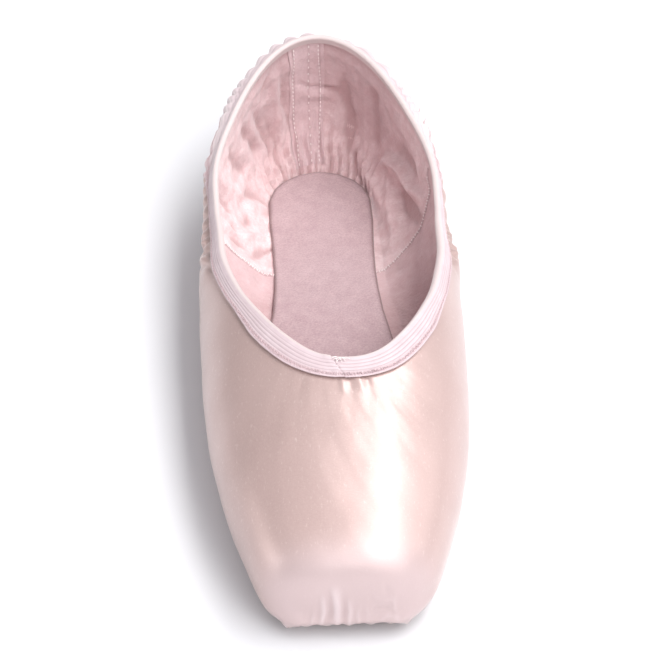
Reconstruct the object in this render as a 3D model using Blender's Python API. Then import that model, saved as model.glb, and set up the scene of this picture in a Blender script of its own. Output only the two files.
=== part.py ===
"""A pointe shoe, standing empty on its sole.

Metres, +Z up. The toe points along -Y, the heel along +Y, and the floor is z = 0.
Lengths along the shoe are measured as t, the distance back from the toe platform.
The last is one function, half_width(t, z, inset). The upper, its lining side, the insole, the
outsole and the binding are all read from it, so they fit each other whatever size is changed.
"""
import math
from collections import namedtuple

import bpy
import numpy as np

# Driving sizes: the whole shoe
LENGTH = 0.235
BALL_WIDTH = 0.084
QUARTER_WIDTH = 0.0765
HEEL_HEIGHT = 0.0550
SIDE_HEIGHT = 0.0405
THROAT_HEIGHT = 0.0500
INSTEP_HEIGHT = 0.0570

# Driving sizes: the box
BOX_LENGTH = 0.141
VAMP_LENGTH = 0.069
PLATFORM_WIDTH = 0.048
PLATFORM_HEIGHT = 0.027
PLATFORM_RIM = 0.0085
PLATFORM_EDGE = 0.0035
PLEAT_DEPTH = 0.0008
PLEAT_PITCH = 0.0066
PLEAT_REACH = 0.030
TOE_SPRING = 0.0012

# Driving sizes: the quarters and the collar
HEEL_ROUND = 0.070
HEEL_TUCK = 0.017
HEEL_LEAN = 0.0045
LOW_POINT = 0.150
COLLAR_SWAY = 0.0026
BOX_WALL = 0.0026
QUARTER_WALL = 0.0016

# Driving sizes: outsole, insole and binding
SOLE_THICKNESS = 0.0022
SOLE_EDGE_BEVEL = 0.0005
SOLE_FRONT = 0.027
SOLE_FRONT_ROUND = 0.026
SOLE_BACK = 0.0025
SOLE_BACK_ROUND = 0.014
ARCH_RISE = 0.003
MARGIN = 0.005
INSOLE_THICKNESS = 0.0016
INSOLE_CLEARANCE = 0.0004
BINDING_WIDTH = 0.007
BINDING_INSIDE = 0.003
BINDING_THICKNESS = 0.0009
BINDING_GAP = 0.00045
GAP = 0.0003

# How finely the shapes are cut into faces
COLUMNS = 116
FLOOR_ROWS = 5
WALL_ROWS = 11
LINING_WALL_ROWS = 6
TOE_DENSITY = 1.3
TOE_REACH = 0.030
FINE = 140
HALVINGS = 38
RIM_TURN = 0.011

# Where the columns round the shoe stand, as shares of LENGTH, and their height as a share of
# THROAT_HEIGHT: they fan out over the toe and round the heel, and run straight between
FRONT_PIVOT = 0.39
BACK_PIVOT = 0.75
PIVOT_HEIGHT = 0.44

# Where the sole is flat on the floor, as shares of LENGTH
TREAD_FRONT = 0.24
TREAD_BACK = 0.46
HEEL_TREAD = 0.76

# A row for each section of the box. station is a share of BOX_LENGTH. spread runs from 0, the
# platform's width, to 1, the ball's. rise runs from 0, the platform's top, to 1, the throat's
# height. middle is the height of the widest line, as a share of THROAT_HEIGHT. floor is the
# share of the half width that lies flat under the foot. power is 2 for an ellipse, more for a
# squarer section.
BoxRow = namedtuple("BoxRow", "station spread rise middle floor power")
BOX_ROWS = (
    BoxRow(0.00, 0.00, 0.00, 0.33, 0.86, 2.6),
    BoxRow(0.08, 0.24, 0.24, 0.34, 0.84, 2.5),
    BoxRow(0.15, 0.41, 0.40, 0.35, 0.81, 2.4),
    BoxRow(0.26, 0.66, 0.63, 0.36, 0.77, 2.3),
    BoxRow(0.41, 0.86, 0.87, 0.37, 0.73, 2.2),
    BoxRow(0.57, 0.96, 1.06, 0.38, 0.70, 2.2),
    BoxRow(0.74, 1.00, 1.18, 0.40, 0.66, 2.2),
    BoxRow(0.89, 1.00, 1.31, 0.44, 0.60, 2.1),
)

# A row for each section of the quarters. station is a share of the length behind the box.
# width is a share of QUARTER_WIDTH, before the heel rounds it off. crown is a share of
# INSTEP_HEIGHT: nothing reaches it, and it says how fast the walls lean in above their middle.
# The other columns are as above.
QuarterRow = namedtuple("QuarterRow", "station width crown middle floor power")
QUARTER_ROWS = (
    QuarterRow(0.04, 1.03, 1.12, 0.52, 0.56, 1.9),
    QuarterRow(0.13, 1.02, 1.18, 0.57, 0.54, 1.8),
    QuarterRow(0.35, 1.01, 1.30, 0.60, 0.53, 1.8),
    QuarterRow(0.60, 0.98, 1.26, 0.60, 0.53, 1.8),
    QuarterRow(1.00, 0.95, 1.40, 0.60, 0.53, 1.8),
)

# A row for each point of the topline. station is a share of the way from the throat to the low
# point, and drop a share of the height between them.
CollarRow = namedtuple("CollarRow", "station drop")
COLLAR_FRONT_ROWS = (
    CollarRow(0.00, 0.00),
    CollarRow(0.14, 0.08),
    CollarRow(0.28, 0.24),
    CollarRow(0.48, 0.55),
    CollarRow(0.70, 0.84),
    CollarRow(1.00, 1.00),
)

# A row for each width of the outsole, as a share of the floor of the upper above it
SoleRow = namedtuple("SoleRow", "station width")
SOLE_ROWS = (
    SoleRow(0.10, 0.90),
    SoleRow(0.30, 0.95),
    SoleRow(0.45, 0.95),
    SoleRow(0.62, 0.80),
    SoleRow(0.76, 0.86),
    SoleRow(0.90, 0.93),
)

Columns = namedtuple("Columns", "pivot facing along")
Material = namedtuple("Material", "colour roughness")
MATERIALS = {
    "satin": Material((0.80, 0.56, 0.50), 0.32),
    "leather": Material((0.62, 0.47, 0.36), 0.62),
    "suede": Material((0.74, 0.50, 0.49), 0.92),
    "elastic": Material((0.83, 0.63, 0.59), 0.70),
}


def smooth(stations, values, at):
    """A smooth curve through a few values, read at any stations."""
    stations = np.asarray(stations, float)
    values = np.asarray(values, float)
    slopes = np.gradient(values, stations)
    left = np.clip(np.searchsorted(stations, at) - 1, 0, len(stations) - 2)
    step = stations[left + 1] - stations[left]
    u = np.clip((at - stations[left]) / step, 0, 1)
    start = values[left] * (1 + 2 * u) + slopes[left] * step * u
    end = values[left + 1] * (3 - 2 * u) - slopes[left + 1] * step * (1 - u)
    return start * (1 - u) ** 2 + end * u**2


def root(value, power):
    return np.clip(value, 0, 1) ** (1 / power)


def unit(vectors):
    return vectors / np.linalg.norm(vectors, axis=-1, keepdims=True)


def mix(a, b, share):
    return a + (b - a) * share


# The sole's curve along its length


def tread(t):
    """Height of the sole's underside: flat at the ball and the heel, arched, sprung at the toe."""
    share = t / LENGTH
    spring = np.clip(1 - share / TREAD_FRONT, 0, 1) ** 2
    arch = np.clip((share - TREAD_BACK) / (HEEL_TREAD - TREAD_BACK), 0, 1)
    return TOE_SPRING * spring + ARCH_RISE * np.sin(np.pi * arch) ** 2


def seat(t):
    """Height of the upper's underside, which lies on the outsole."""
    return tread(t) + SOLE_THICKNESS + GAP


# The last


def section_table():
    platform_top = TOE_SPRING + SOLE_THICKNESS + GAP + PLATFORM_HEIGHT
    behind = LENGTH - BOX_LENGTH
    rows = [
        (
            row.station * BOX_LENGTH,
            mix(PLATFORM_WIDTH, BALL_WIDTH, row.spread) / 2,
            mix(platform_top, THROAT_HEIGHT, row.rise),
            row.middle * THROAT_HEIGHT,
            row.floor,
            row.power,
        )
        for row in BOX_ROWS
    ]
    rows += [
        (
            BOX_LENGTH + row.station * behind,
            row.width * QUARTER_WIDTH / 2,
            row.crown * INSTEP_HEIGHT,
            row.middle * THROAT_HEIGHT,
            row.floor,
            row.power,
        )
        for row in QUARTER_ROWS
    ]
    return np.array(rows).T


SECTIONS = section_table()


def section(t):
    """Half width, crown height, middle height, floor share and power of the section at t."""
    return [smooth(SECTIONS[0], column, t) for column in SECTIONS[1:]]


def rim_lift(t, inset, rim):
    """How far a round rim of the platform draws the section in, near the toe."""
    radius = max(rim - np.max(inset), rim / 8)
    depth = np.clip(1 - (t - inset) / radius, 0, 1)
    return radius * (1 - np.sqrt(1 - depth**2))


def half_width(t, z, inset=0.0):
    """Half the last's width at t from the toe and height z, drawn in by inset all round."""
    half, crown, middle, floor, power = section(t)
    lift = rim_lift(t, inset, PLATFORM_RIM)
    low_end = root(1 - floor**power, power)
    depth = (middle - seat(t)) / low_end - inset - rim_lift(t, inset, PLATFORM_EDGE)
    above = (z - middle) / (crown - inset - lift - middle)
    below = (middle - z) / depth
    outward = np.where(z > middle, above, below)
    width = (half - inset - lift) * root(1 - np.clip(outward, 0, 1) ** power, power)
    low = np.clip(below / low_end, 0, 1)
    high = np.clip((z - middle) / (HEEL_HEIGHT - middle), 0, 1)
    heel = HEEL_ROUND - inset - HEEL_TUCK * low**2.2 - HEEL_LEAN * high**3
    past = np.clip((t - LENGTH + HEEL_ROUND) / heel, 0, 1)
    plan_power = 2 + 1.6 * low**2
    width = width * root(1 - past**plan_power, plan_power)
    return np.where(t < inset, 0.0, width)


def floor_height(t, inset=0.0):
    return seat(t) + inset + rim_lift(t, inset, PLATFORM_EDGE)


def floor_half_width(t, inset=0.0):
    """Half the width of what lies flat under the foot."""
    return half_width(t, floor_height(t, inset), inset)


def wall(t):
    """Thickness of the upper: stiff box in front, soft quarters behind."""
    back = np.clip((t / BOX_LENGTH - 0.9) / 0.2, 0, 1)
    return mix(BOX_WALL, QUARTER_WALL, back * back * (3 - 2 * back))


def sway(t, z):
    """How far the collar, and the dome of the vamp with it, sits to one side."""
    high = np.clip((z / THROAT_HEIGHT - 0.4) / 0.5, 0, 1)
    toward = np.clip(t / VAMP_LENGTH, 0, 1)
    back = np.clip((t - VAMP_LENGTH) / (LENGTH - VAMP_LENGTH), 0, 1)
    return COLLAR_SWAY * high**2 * toward**2 * (1 - back) ** 2


def topline(t):
    """Height of the upper's top edge."""
    throat = smooth(SECTIONS[0], SECTIONS[2], VAMP_LENGTH)
    share = (t - VAMP_LENGTH) / (LOW_POINT - VAMP_LENGTH)
    stations = [row.station for row in COLLAR_FRONT_ROWS]
    drops = [row.drop for row in COLLAR_FRONT_ROWS]
    front = mix(throat, SIDE_HEIGHT, smooth(stations, drops, np.clip(share, 0, 1)))
    back = np.clip((t - LOW_POINT) / (LENGTH - LOW_POINT), 0, 1)
    rise = (HEEL_HEIGHT - SIDE_HEIGHT) * back**1.6
    ahead = np.clip(VAMP_LENGTH - t, 0, None)
    return front + rise + ahead


# Columns round the shoe, from the toe's middle round the +X side to the heel and back


def half_round():
    """Pivot and facing of finely spaced columns on the +X side."""
    front = LENGTH * FRONT_PIVOT
    back = LENGTH * BACK_PIVOT
    steps = 400
    fan = np.linspace(0, np.pi / 2, steps, endpoint=False)
    straight = np.linspace(front, back, steps, endpoint=False)
    heel = np.linspace(np.pi / 2, np.pi, steps)
    pivot = np.concatenate([np.full(steps, front), straight, np.full(steps, back)])
    facing = np.concatenate([fan, np.full(steps, np.pi / 2), heel])
    return pivot, facing


def make_columns(count):
    """Columns evenly spaced along the shoe's outline, and closer at the toe."""
    pivot, facing = half_round()
    fine = Columns(pivot, facing, None)
    x, t, z = hit(fine, np.zeros(len(pivot)), 0, 0)
    length = np.hypot(np.diff(x), np.diff(t))
    along = np.concatenate([[0], np.cumsum(length)])
    middle = (t[1:] + t[:-1]) / 2
    weight = length * (1 + TOE_DENSITY * np.exp(-((middle / TOE_REACH) ** 2)))
    measure = np.concatenate([[0], np.cumsum(weight)])
    spots = np.linspace(0, measure[-1], count // 2 + 1)
    right = [np.interp(spots, measure, values) for values in (pivot, facing, along)]
    left = [values[-2:0:-1] for values in right]
    return Columns(
        np.concatenate([right[0], left[0]]),
        np.concatenate([right[1], -left[1]]),
        np.concatenate([right[2], -left[2]]),
    )


def place(columns, reach):
    """Plan position at a distance from the columns' pivots."""
    return reach * np.sin(columns.facing), columns.pivot - reach * np.cos(columns.facing)


def farthest(inside, shape):
    """For each ray, how far it goes before it leaves the shape."""
    near = np.zeros(shape)
    far = np.full(shape, LENGTH)
    for _ in range(HALVINGS):
        halfway = (near + far) / 2
        within = inside(halfway)
        near = np.where(within, halfway, near)
        far = np.where(within, far, halfway)
    return near


def layer_inset(t, layer, extra):
    """Layer 0 is the outside of the upper, and layer 1 its lining side."""
    return layer * wall(t) + extra


def hit(columns, climb, layer, extra):
    """Where rays that climb from the columns' pivots meet the last."""
    pivot_z = PIVOT_HEIGHT * THROAT_HEIGHT

    def inside(reach):
        x, t = place(columns, reach * np.cos(climb))
        z = pivot_z + reach * np.sin(climb)
        return np.abs(x - sway(t, z)) < half_width(t, z, layer_inset(t, layer, extra))

    reach = farthest(inside, np.shape(climb))
    x, t = place(columns, reach * np.cos(climb))
    return x, t, pivot_z + reach * np.sin(climb)


def outline(columns, width_at):
    """Where level rays from the columns' pivots leave a plan shape."""

    def inside(reach):
        x, t = place(columns, reach)
        return np.abs(x) < width_at(t)

    return farthest(inside, columns.pivot.shape)


def spread(columns, count):
    """The same columns, for an array with another axis."""
    return Columns(*(np.repeat(values[:, None], count, 1) for values in columns))


# The outsole's outline, and the rows of the upper


def sole_half_width(t, inset=0.0):
    front = SOLE_FRONT + inset
    back = LENGTH - HEEL_TUCK - SOLE_BACK - inset
    stations = [row.station * LENGTH for row in SOLE_ROWS]
    widths = [row.width for row in SOLE_ROWS]
    body = smooth(stations, widths, t) * floor_half_width(t) - inset
    ahead = np.clip(1 - (t - front) / SOLE_FRONT_ROUND, 0, 1)
    behind = np.clip(1 - (back - t) / SOLE_BACK_ROUND, 0, 1)
    rounded = body * np.sqrt(1 - ahead**2) * np.sqrt(1 - behind**2)
    return np.where((t > front) & (t < back), rounded, 0.0)


def floor_path(columns, layer, extra, count):
    """From the edge under the sole out to where the wall starts, along the floor."""
    start = outline(columns, lambda t: sole_half_width(t, MARGIN))
    end = outline(columns, lambda t: floor_half_width(t, layer_inset(t, layer, extra)))
    share = np.linspace(0, 1, count)
    reach = mix(start[:, None], end[:, None], 1 - (1 - share) ** 2)
    x, t = place(spread(columns, count), reach)
    return np.stack([x, t, floor_height(t, layer_inset(t, layer, extra))], -1)


def climb_of(columns, points):
    """The angle at which a ray climbs from its pivot to a point."""
    ahead = np.sin(columns.facing) * points[..., 0]
    ahead = ahead - np.cos(columns.facing) * (points[..., 1] - columns.pivot)
    return np.arctan2(points[..., 2] - PIVOT_HEIGHT * THROAT_HEIGHT, ahead)


def collar_climb(columns):
    """The angle at which each column's ray meets the topline."""
    low = np.zeros(columns.pivot.shape)
    high = np.full(columns.pivot.shape, np.radians(89))
    for _ in range(HALVINGS):
        halfway = (low + high) / 2
        x, t, z = hit(columns, halfway, 0, 0)
        under = z < topline(t)
        low = np.where(under, halfway, low)
        high = np.where(under, high, halfway)
    return low


def wall_path(columns, start, end, layer, extra, count):
    """From the floor up to the top edge, finely spaced."""
    share = np.linspace(0, 1, count)
    climb = mix(start[:, None], end[:, None], share)
    return np.stack(hit(spread(columns, count), climb, layer, extra), -1)


def travelled(path, turn=0.0):
    """Distance along each path. Bends count as extra distance, so rows gather there."""
    step = np.diff(path, axis=1)
    length = np.linalg.norm(step, axis=-1)
    way = step / np.maximum(length, 1e-9)[..., None]
    bend = np.linalg.norm(np.diff(way, axis=1), axis=-1)
    bend = np.pad(bend, ((0, 0), (0, 1))) + np.pad(bend, ((0, 0), (1, 0)))
    total = np.cumsum(length + turn * bend / 2, axis=1)
    return np.pad(total, ((0, 0), (1, 0)))


def resample(path, measure, wanted):
    """Points of each path where its measure has the wanted values."""
    out = np.empty((len(path), wanted.shape[1], 3))
    for column, (line, along, spots) in enumerate(zip(path, measure, wanted)):
        for axis in range(3):
            out[column, :, axis] = np.interp(spots, along, line[:, axis])
    return out


def rows_between(path, count):
    """Evenly spaced points of each path, closer at its bends."""
    measure = travelled(path, RIM_TURN)
    return resample(path, measure, measure[:, -1:] * np.linspace(0, 1, count + 1))


def below_top(path, distances):
    """Points of each path at the given distances from its end."""
    measure = travelled(path)
    return resample(path, measure, measure[:, -1:] - np.array(distances))


def outward(points):
    """Outward normals of a grid of points, columns first and rows from the floor up."""
    round_way = np.roll(points, -1, 0) - np.roll(points, 1, 0)
    up_way = np.gradient(points, axis=1)
    return unit(np.cross(round_way, up_way))


def upper_layer(columns, layer, bands, floor_rows, wall_rows):
    """Grid of one side of the upper. bands are distances below the top that get a row."""
    floor = floor_path(columns, layer, 0, FINE)
    start = climb_of(columns, floor[:, -1])
    end = collar_climb(columns)
    if layer:
        end = climb_of(columns, lining_top(columns))
    path = wall_path(columns, start, end, layer, 0, FINE)
    top = below_top(path, bands)
    measure = travelled(path)
    lower = [
        resample(line[None], along[None], np.linspace(0, along[-1] - bands[0], FINE)[None])[0]
        for line, along in zip(path, measure)
    ]
    lower = rows_between(np.array(lower), wall_rows)
    floor = rows_between(floor, floor_rows)
    return np.concatenate([floor, lower[:, 1:], top[:, 1:]], 1)


def lining_top(columns):
    """Where the lining side meets the top edge, straight through the wall."""
    end = collar_climb(columns)
    near = wall_path(columns, end - np.radians(1), end, 0, 0, 3)
    edge = near[:, -1]
    return edge - outward(near)[:, -1] * wall(edge[:, 1])[:, None]


def pleat(columns, grid):
    """Pleats gathered under the toe: soft steps pressed into the outside of the wall."""
    t = grid[..., 1]
    height = grid[..., 2] - seat(t)
    turn = np.abs(columns.along)[:, None] / PLEAT_PITCH
    wave = 0.5 - 0.5 * np.cos(2 * np.pi * turn)
    near_toe = np.clip((PLEAT_REACH + SOLE_FRONT - t) / PLEAT_REACH, 0, 1)
    low = np.clip(1.1 - height / PLATFORM_EDGE, 0, 1)
    depth = PLEAT_DEPTH * wave * np.minimum(1, 2 * near_toe) * low
    return grid - outward(grid) * depth[..., None]


# Turning grids into solids


def to_world(points):
    """From x, distance from the toe, z to the shoe's own frame."""
    return points - np.array([0, LENGTH / 2, 0])


def solid(name, rings, closed, material):
    """A solid from rings of points. A closed one joins its last ring to its first, and an open
    one is capped with strips from side to side."""
    count, points = rings.shape[:2]
    index = np.arange(count * points).reshape(count, points)
    faces = []
    for ring in range(count if closed else count - 1):
        low = index[ring]
        high = index[(ring + 1) % count]
        strips = zip(low, np.roll(low, -1), np.roll(high, -1), high)
        faces += [tuple(int(v) for v in quad) for quad in strips]
    if not closed:
        faces += cap(index[0], True) + cap(index[-1], False)
    mesh = bpy.data.meshes.new(name)
    vertices = to_world(rings.reshape(-1, 3))
    mesh.from_pydata(vertices.tolist(), [], faces)
    mesh.materials.append(material)
    mesh.shade_smooth()
    mesh.set_sharp_from_angle(angle=math.radians(40))
    thing = bpy.data.objects.new(name, mesh)
    bpy.context.collection.objects.link(thing)
    return thing


def cap(ring, flipped):
    """Strips across a ring whose two halves mirror each other."""
    half = len(ring) // 2
    strips = [(ring[0], ring[1], ring[-1])]
    strips += [(ring[i], ring[i + 1], ring[-i - 1], ring[-i]) for i in range(1, half - 1)]
    strips.append((ring[half - 1], ring[half], ring[half + 1]))
    return [tuple(int(v) for v in (strip[::-1] if flipped else strip)) for strip in strips]


def plan_ring(columns, width_at, height_at):
    """A level ring of points round the shoe."""
    x, t = place(columns, outline(columns, width_at))
    return np.stack([x, t, height_at(t)], -1)


def make_material(name):
    finish = MATERIALS[name]
    material = bpy.data.materials.new(name)
    material.use_nodes = True
    shader = material.node_tree.nodes["Principled BSDF"]
    shader.inputs["Base Color"].default_value = (*finish.colour, 1)
    shader.inputs["Roughness"].default_value = finish.roughness
    shader.inputs["Metallic"].default_value = 0
    return material


# The pieces


def make_upper(columns, satin):
    """Box, vamp and quarters in one hollow wall, open at the collar and under the foot."""
    bands = [BINDING_WIDTH, BINDING_WIDTH / 2, 0]
    outside = upper_layer(columns, 0, bands, FLOOR_ROWS, WALL_ROWS)
    outside = pleat(columns, outside)
    inside = upper_layer(columns, 1, [BINDING_INSIDE, 0], 2, LINING_WALL_ROWS)
    rings = np.concatenate([outside, inside[:, ::-1]], 1)
    return solid("upper", rings.transpose(1, 0, 2), True, satin)


def make_outsole(columns, leather):
    """Leather sole with a skived lower edge. It is flat on the floor at the ball and the heel."""
    bevel = SOLE_EDGE_BEVEL
    rings = [
        plan_ring(columns, lambda t: sole_half_width(t, bevel), tread),
        plan_ring(columns, sole_half_width, lambda t: tread(t) + bevel),
        plan_ring(columns, sole_half_width, lambda t: tread(t) + SOLE_THICKNESS),
    ]
    return solid("outsole", np.array(rings), False, leather)


def make_insole(columns, suede):
    """Covered board on the turned-in edge of the upper. Its thicker middle fills the opening
    that the edge leaves, down to the outsole."""
    hole = MARGIN + INSOLE_CLEARANCE

    def board(t):
        return floor_half_width(t, wall(t) + INSOLE_CLEARANCE) * (t > 2 * PLATFORM_RIM)

    def under(t):
        return seat(t) + wall(t) + GAP

    rings = [
        plan_ring(columns, lambda t: sole_half_width(t, hole), seat),
        plan_ring(columns, lambda t: sole_half_width(t, hole), under),
        plan_ring(columns, board, under),
        plan_ring(columns, board, lambda t: under(t) + INSOLE_THICKNESS),
    ]
    return solid("insole", np.array(rings), False, suede)


def make_binding(columns, elastic):
    """Elastic binding folded over the top edge, wide outside and narrower inside."""
    bands = [BINDING_WIDTH, BINDING_WIDTH / 2, 0]
    outside = upper_layer(columns, 0, bands, FLOOR_ROWS, WALL_ROWS)
    inside = upper_layer(columns, 1, [BINDING_INSIDE, 0], 2, LINING_WALL_ROWS)
    out = outside[:, -3:]
    away = outward(outside)[:, -3:]
    lining = inside[:, -2:]
    inward = -outward(inside)[:, -2:]
    edge_way = np.roll(out[:, 2], -1, 0) - np.roll(out[:, 2], 1, 0)
    up = unit(np.cross(edge_way, lining[:, 1] - out[:, 2]))
    near = BINDING_GAP
    far = BINDING_GAP + BINDING_THICKNESS
    middle = (out[:, 2] + lining[:, 1]) / 2
    rings = [
        out[:, 0] + near * away[:, 0],
        out[:, 0] + far * away[:, 0],
        out[:, 1] + far * away[:, 1],
        out[:, 2] + far * away[:, 2],
        middle + far * up,
        lining[:, 1] + far * inward[:, 1],
        lining[:, 0] + far * inward[:, 0],
        lining[:, 0] + near * inward[:, 0],
        lining[:, 1] + near * (inward[:, 1] + up),
        out[:, 2] + near * (away[:, 2] + up),
        out[:, 1] + near * away[:, 1],
    ]
    return solid("binding", np.array(rings), True, elastic)


def main():
    for thing in list(bpy.data.objects):
        bpy.data.objects.remove(thing)
    columns = make_columns(COLUMNS)
    make_upper(columns, make_material("satin"))
    make_outsole(columns, make_material("leather"))
    make_insole(columns, make_material("suede"))
    make_binding(columns, make_material("elastic"))


main()
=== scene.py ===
# %% [markdown]
# # A satin pointe shoe
# A pointe shoe is a satin slipper built round a stiff box, so that a dancer can stand on the
# flat tip of it. This notebook dresses a plain CAD model of one shoe in satin, cotton, suede,
# elastic and leather, and lights it softly on a pale floor.

import math
from collections import namedtuple

import bpy
import numpy as np
from mathutils import Matrix, Vector


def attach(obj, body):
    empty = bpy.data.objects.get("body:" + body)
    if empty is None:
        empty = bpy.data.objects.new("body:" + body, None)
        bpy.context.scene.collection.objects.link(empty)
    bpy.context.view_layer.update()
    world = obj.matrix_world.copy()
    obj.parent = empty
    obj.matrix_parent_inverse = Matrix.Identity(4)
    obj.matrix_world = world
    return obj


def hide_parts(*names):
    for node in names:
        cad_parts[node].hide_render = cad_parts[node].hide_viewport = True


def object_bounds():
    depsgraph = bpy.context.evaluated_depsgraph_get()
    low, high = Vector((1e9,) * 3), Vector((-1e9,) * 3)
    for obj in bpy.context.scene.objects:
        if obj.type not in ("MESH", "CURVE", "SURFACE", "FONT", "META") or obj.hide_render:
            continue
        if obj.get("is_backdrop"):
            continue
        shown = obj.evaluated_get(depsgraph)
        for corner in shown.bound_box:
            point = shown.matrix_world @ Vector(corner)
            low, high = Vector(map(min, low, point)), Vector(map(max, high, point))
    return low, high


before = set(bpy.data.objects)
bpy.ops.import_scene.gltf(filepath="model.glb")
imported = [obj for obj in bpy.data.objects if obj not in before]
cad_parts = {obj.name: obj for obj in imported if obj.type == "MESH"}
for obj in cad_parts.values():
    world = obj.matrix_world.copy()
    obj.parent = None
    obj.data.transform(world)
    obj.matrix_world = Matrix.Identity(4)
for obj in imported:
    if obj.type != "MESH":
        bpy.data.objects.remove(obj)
cad_box = [list(corner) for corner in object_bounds()]
print("CAD box in mm:", [[round(1000 * v, 1) for v in corner] for corner in cad_box])

# %% [markdown]
# ## The shoe's sizes
# Every surface below follows the same last, the foot-shaped block on which a shoe is made.
# The last is described by a handful of sizes in metres and a short table of cross-sections,
# so all the layers of cloth fit each other. A length t is measured back from the toe.

# %% Sizes of the last
LENGTH, BALL_WIDTH, QUARTER_WIDTH = 0.235, 0.084, 0.0765
HEEL_HEIGHT, SIDE_HEIGHT, THROAT_HEIGHT, INSTEP_HEIGHT = 0.0550, 0.0405, 0.0500, 0.0570
BOX_LENGTH, VAMP_LENGTH = 0.141, 0.069
PLATFORM_WIDTH, PLATFORM_HEIGHT, PLATFORM_RIM, PLATFORM_EDGE = 0.048, 0.027, 0.0085, 0.0035
PLEAT_DEPTH, PLEAT_PITCH, PLEAT_REACH, TOE_SPRING = 0.0008, 0.0066, 0.030, 0.0012
HEEL_ROUND, HEEL_TUCK, HEEL_LEAN, LOW_POINT = 0.070, 0.017, 0.0045, 0.150
COLLAR_SWAY, BOX_WALL, QUARTER_WALL = 0.0026, 0.0026, 0.0016
SOLE_THICKNESS, SOLE_FRONT, SOLE_FRONT_ROUND = 0.0022, 0.027, 0.026
SOLE_BACK, SOLE_BACK_ROUND, ARCH_RISE, MARGIN = 0.0025, 0.014, 0.003, 0.005
INSOLE_CLEARANCE, GAP = 0.0004, 0.0003
BINDING_WIDTH, BINDING_INSIDE = 0.007, 0.0024
FRONT_PIVOT, BACK_PIVOT, PIVOT_HEIGHT = 0.39, 0.75, 0.44
TREAD_FRONT, TREAD_BACK, HEEL_TREAD = 0.24, 0.46, 0.76

# Each box section: station, spread, rise, middle, floor, power
BOX_ROWS = (
    (0.00, 0.00, 0.00, 0.33, 0.86, 2.6),
    (0.08, 0.24, 0.24, 0.34, 0.84, 2.5),
    (0.15, 0.41, 0.40, 0.35, 0.81, 2.4),
    (0.26, 0.66, 0.63, 0.36, 0.77, 2.3),
    (0.41, 0.86, 0.87, 0.37, 0.73, 2.2),
    (0.57, 0.96, 1.06, 0.38, 0.70, 2.2),
    (0.74, 1.00, 1.18, 0.40, 0.66, 2.2),
    (0.89, 1.00, 1.31, 0.44, 0.60, 2.1),
)
# Each quarter section: station, width, crown, middle, floor, power
QUARTER_ROWS = (
    (0.04, 1.03, 1.12, 0.52, 0.56, 1.9),
    (0.13, 1.02, 1.18, 0.57, 0.54, 1.8),
    (0.35, 1.01, 1.30, 0.60, 0.53, 1.8),
    (0.60, 0.98, 1.26, 0.60, 0.53, 1.8),
    (1.00, 0.95, 1.40, 0.60, 0.53, 1.8),
)
# Topline: station from the throat to the low point, and drop between them
COLLAR_ROWS = ((0.00, 0.00), (0.14, 0.08), (0.28, 0.24), (0.48, 0.55), (0.70, 0.84), (1.0, 1.0))
# Outsole: station along the shoe, and width as a share of the floor
SOLE_ROWS = ((0.10, 0.90), (0.30, 0.95), (0.45, 0.95), (0.62, 0.80), (0.76, 0.86), (0.90, 0.93))
print("sections of the last:", len(BOX_ROWS) + len(QUARTER_ROWS))

# %% [markdown]
# ## The last as a function
# A shoemaker checks a last with paper templates of its sections. Here each section is a
# squashed ellipse with a flat floor, and smooth curves carry its sizes from one station to
# the next. Drawing the whole form in by a wall's thickness gives the inside of the shoe.

# %% Small helpers for curves
def smooth(stations, values, at):
    """A smooth curve through a few values."""
    stations, values = np.asarray(stations, float), np.asarray(values, float)
    slopes = np.gradient(values, stations)
    left = np.clip(np.searchsorted(stations, at) - 1, 0, len(stations) - 2)
    step = stations[left + 1] - stations[left]
    u = np.clip((at - stations[left]) / step, 0, 1)
    start = values[left] * (1 + 2 * u) + slopes[left] * step * u
    end = values[left + 1] * (3 - 2 * u) - slopes[left + 1] * step * (1 - u)
    return start * (1 - u) ** 2 + end * u**2


def root(value, power):
    return np.clip(value, 0, 1) ** (1 / power)


def unit(vectors):
    return vectors / np.maximum(np.linalg.norm(vectors, axis=-1, keepdims=True), 1e-12)


def mix(a, b, share):
    return a + (b - a) * share


def ramp(value, start, end):
    """0 before start, 1 after end, soft between."""
    u = np.clip((value - start) / (end - start), 0, 1)
    return u * u * (3 - 2 * u)


def bell(value, centre, width):
    """A soft bump, 1 at its centre."""
    return np.exp(-(((value - centre) / width) ** 2))


print("halfway up a ramp:", float(ramp(0.5, 0, 1)))

# %% [markdown]
# ## Sections, sole curve and topline
# The sole touches the floor at the ball and the heel and arches a little between them. The
# topline is the edge of the opening: high at the throat, low at the sides, high at the heel.

# %% The last
platform_top = TOE_SPRING + SOLE_THICKNESS + GAP + PLATFORM_HEIGHT
SECTIONS = np.array(
    [
        (a * BOX_LENGTH, mix(PLATFORM_WIDTH, BALL_WIDTH, b) / 2, mix(platform_top, THROAT_HEIGHT, c),
         d * THROAT_HEIGHT, e, f)
        for a, b, c, d, e, f in BOX_ROWS
    ]
    + [
        (BOX_LENGTH + a * (LENGTH - BOX_LENGTH), b * QUARTER_WIDTH / 2, c * INSTEP_HEIGHT,
         d * THROAT_HEIGHT, e, f)
        for a, b, c, d, e, f in QUARTER_ROWS
    ]
).T


def tread(t):
    share = t / LENGTH
    spring = np.clip(1 - share / TREAD_FRONT, 0, 1) ** 2
    arch = np.clip((share - TREAD_BACK) / (HEEL_TREAD - TREAD_BACK), 0, 1)
    return TOE_SPRING * spring + ARCH_RISE * np.sin(np.pi * arch) ** 2


def seat(t):
    return tread(t) + SOLE_THICKNESS + GAP


print("sections in the table:", SECTIONS.shape[1], "and the sole rises at the toe by mm:", 1000 * TOE_SPRING)

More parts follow.
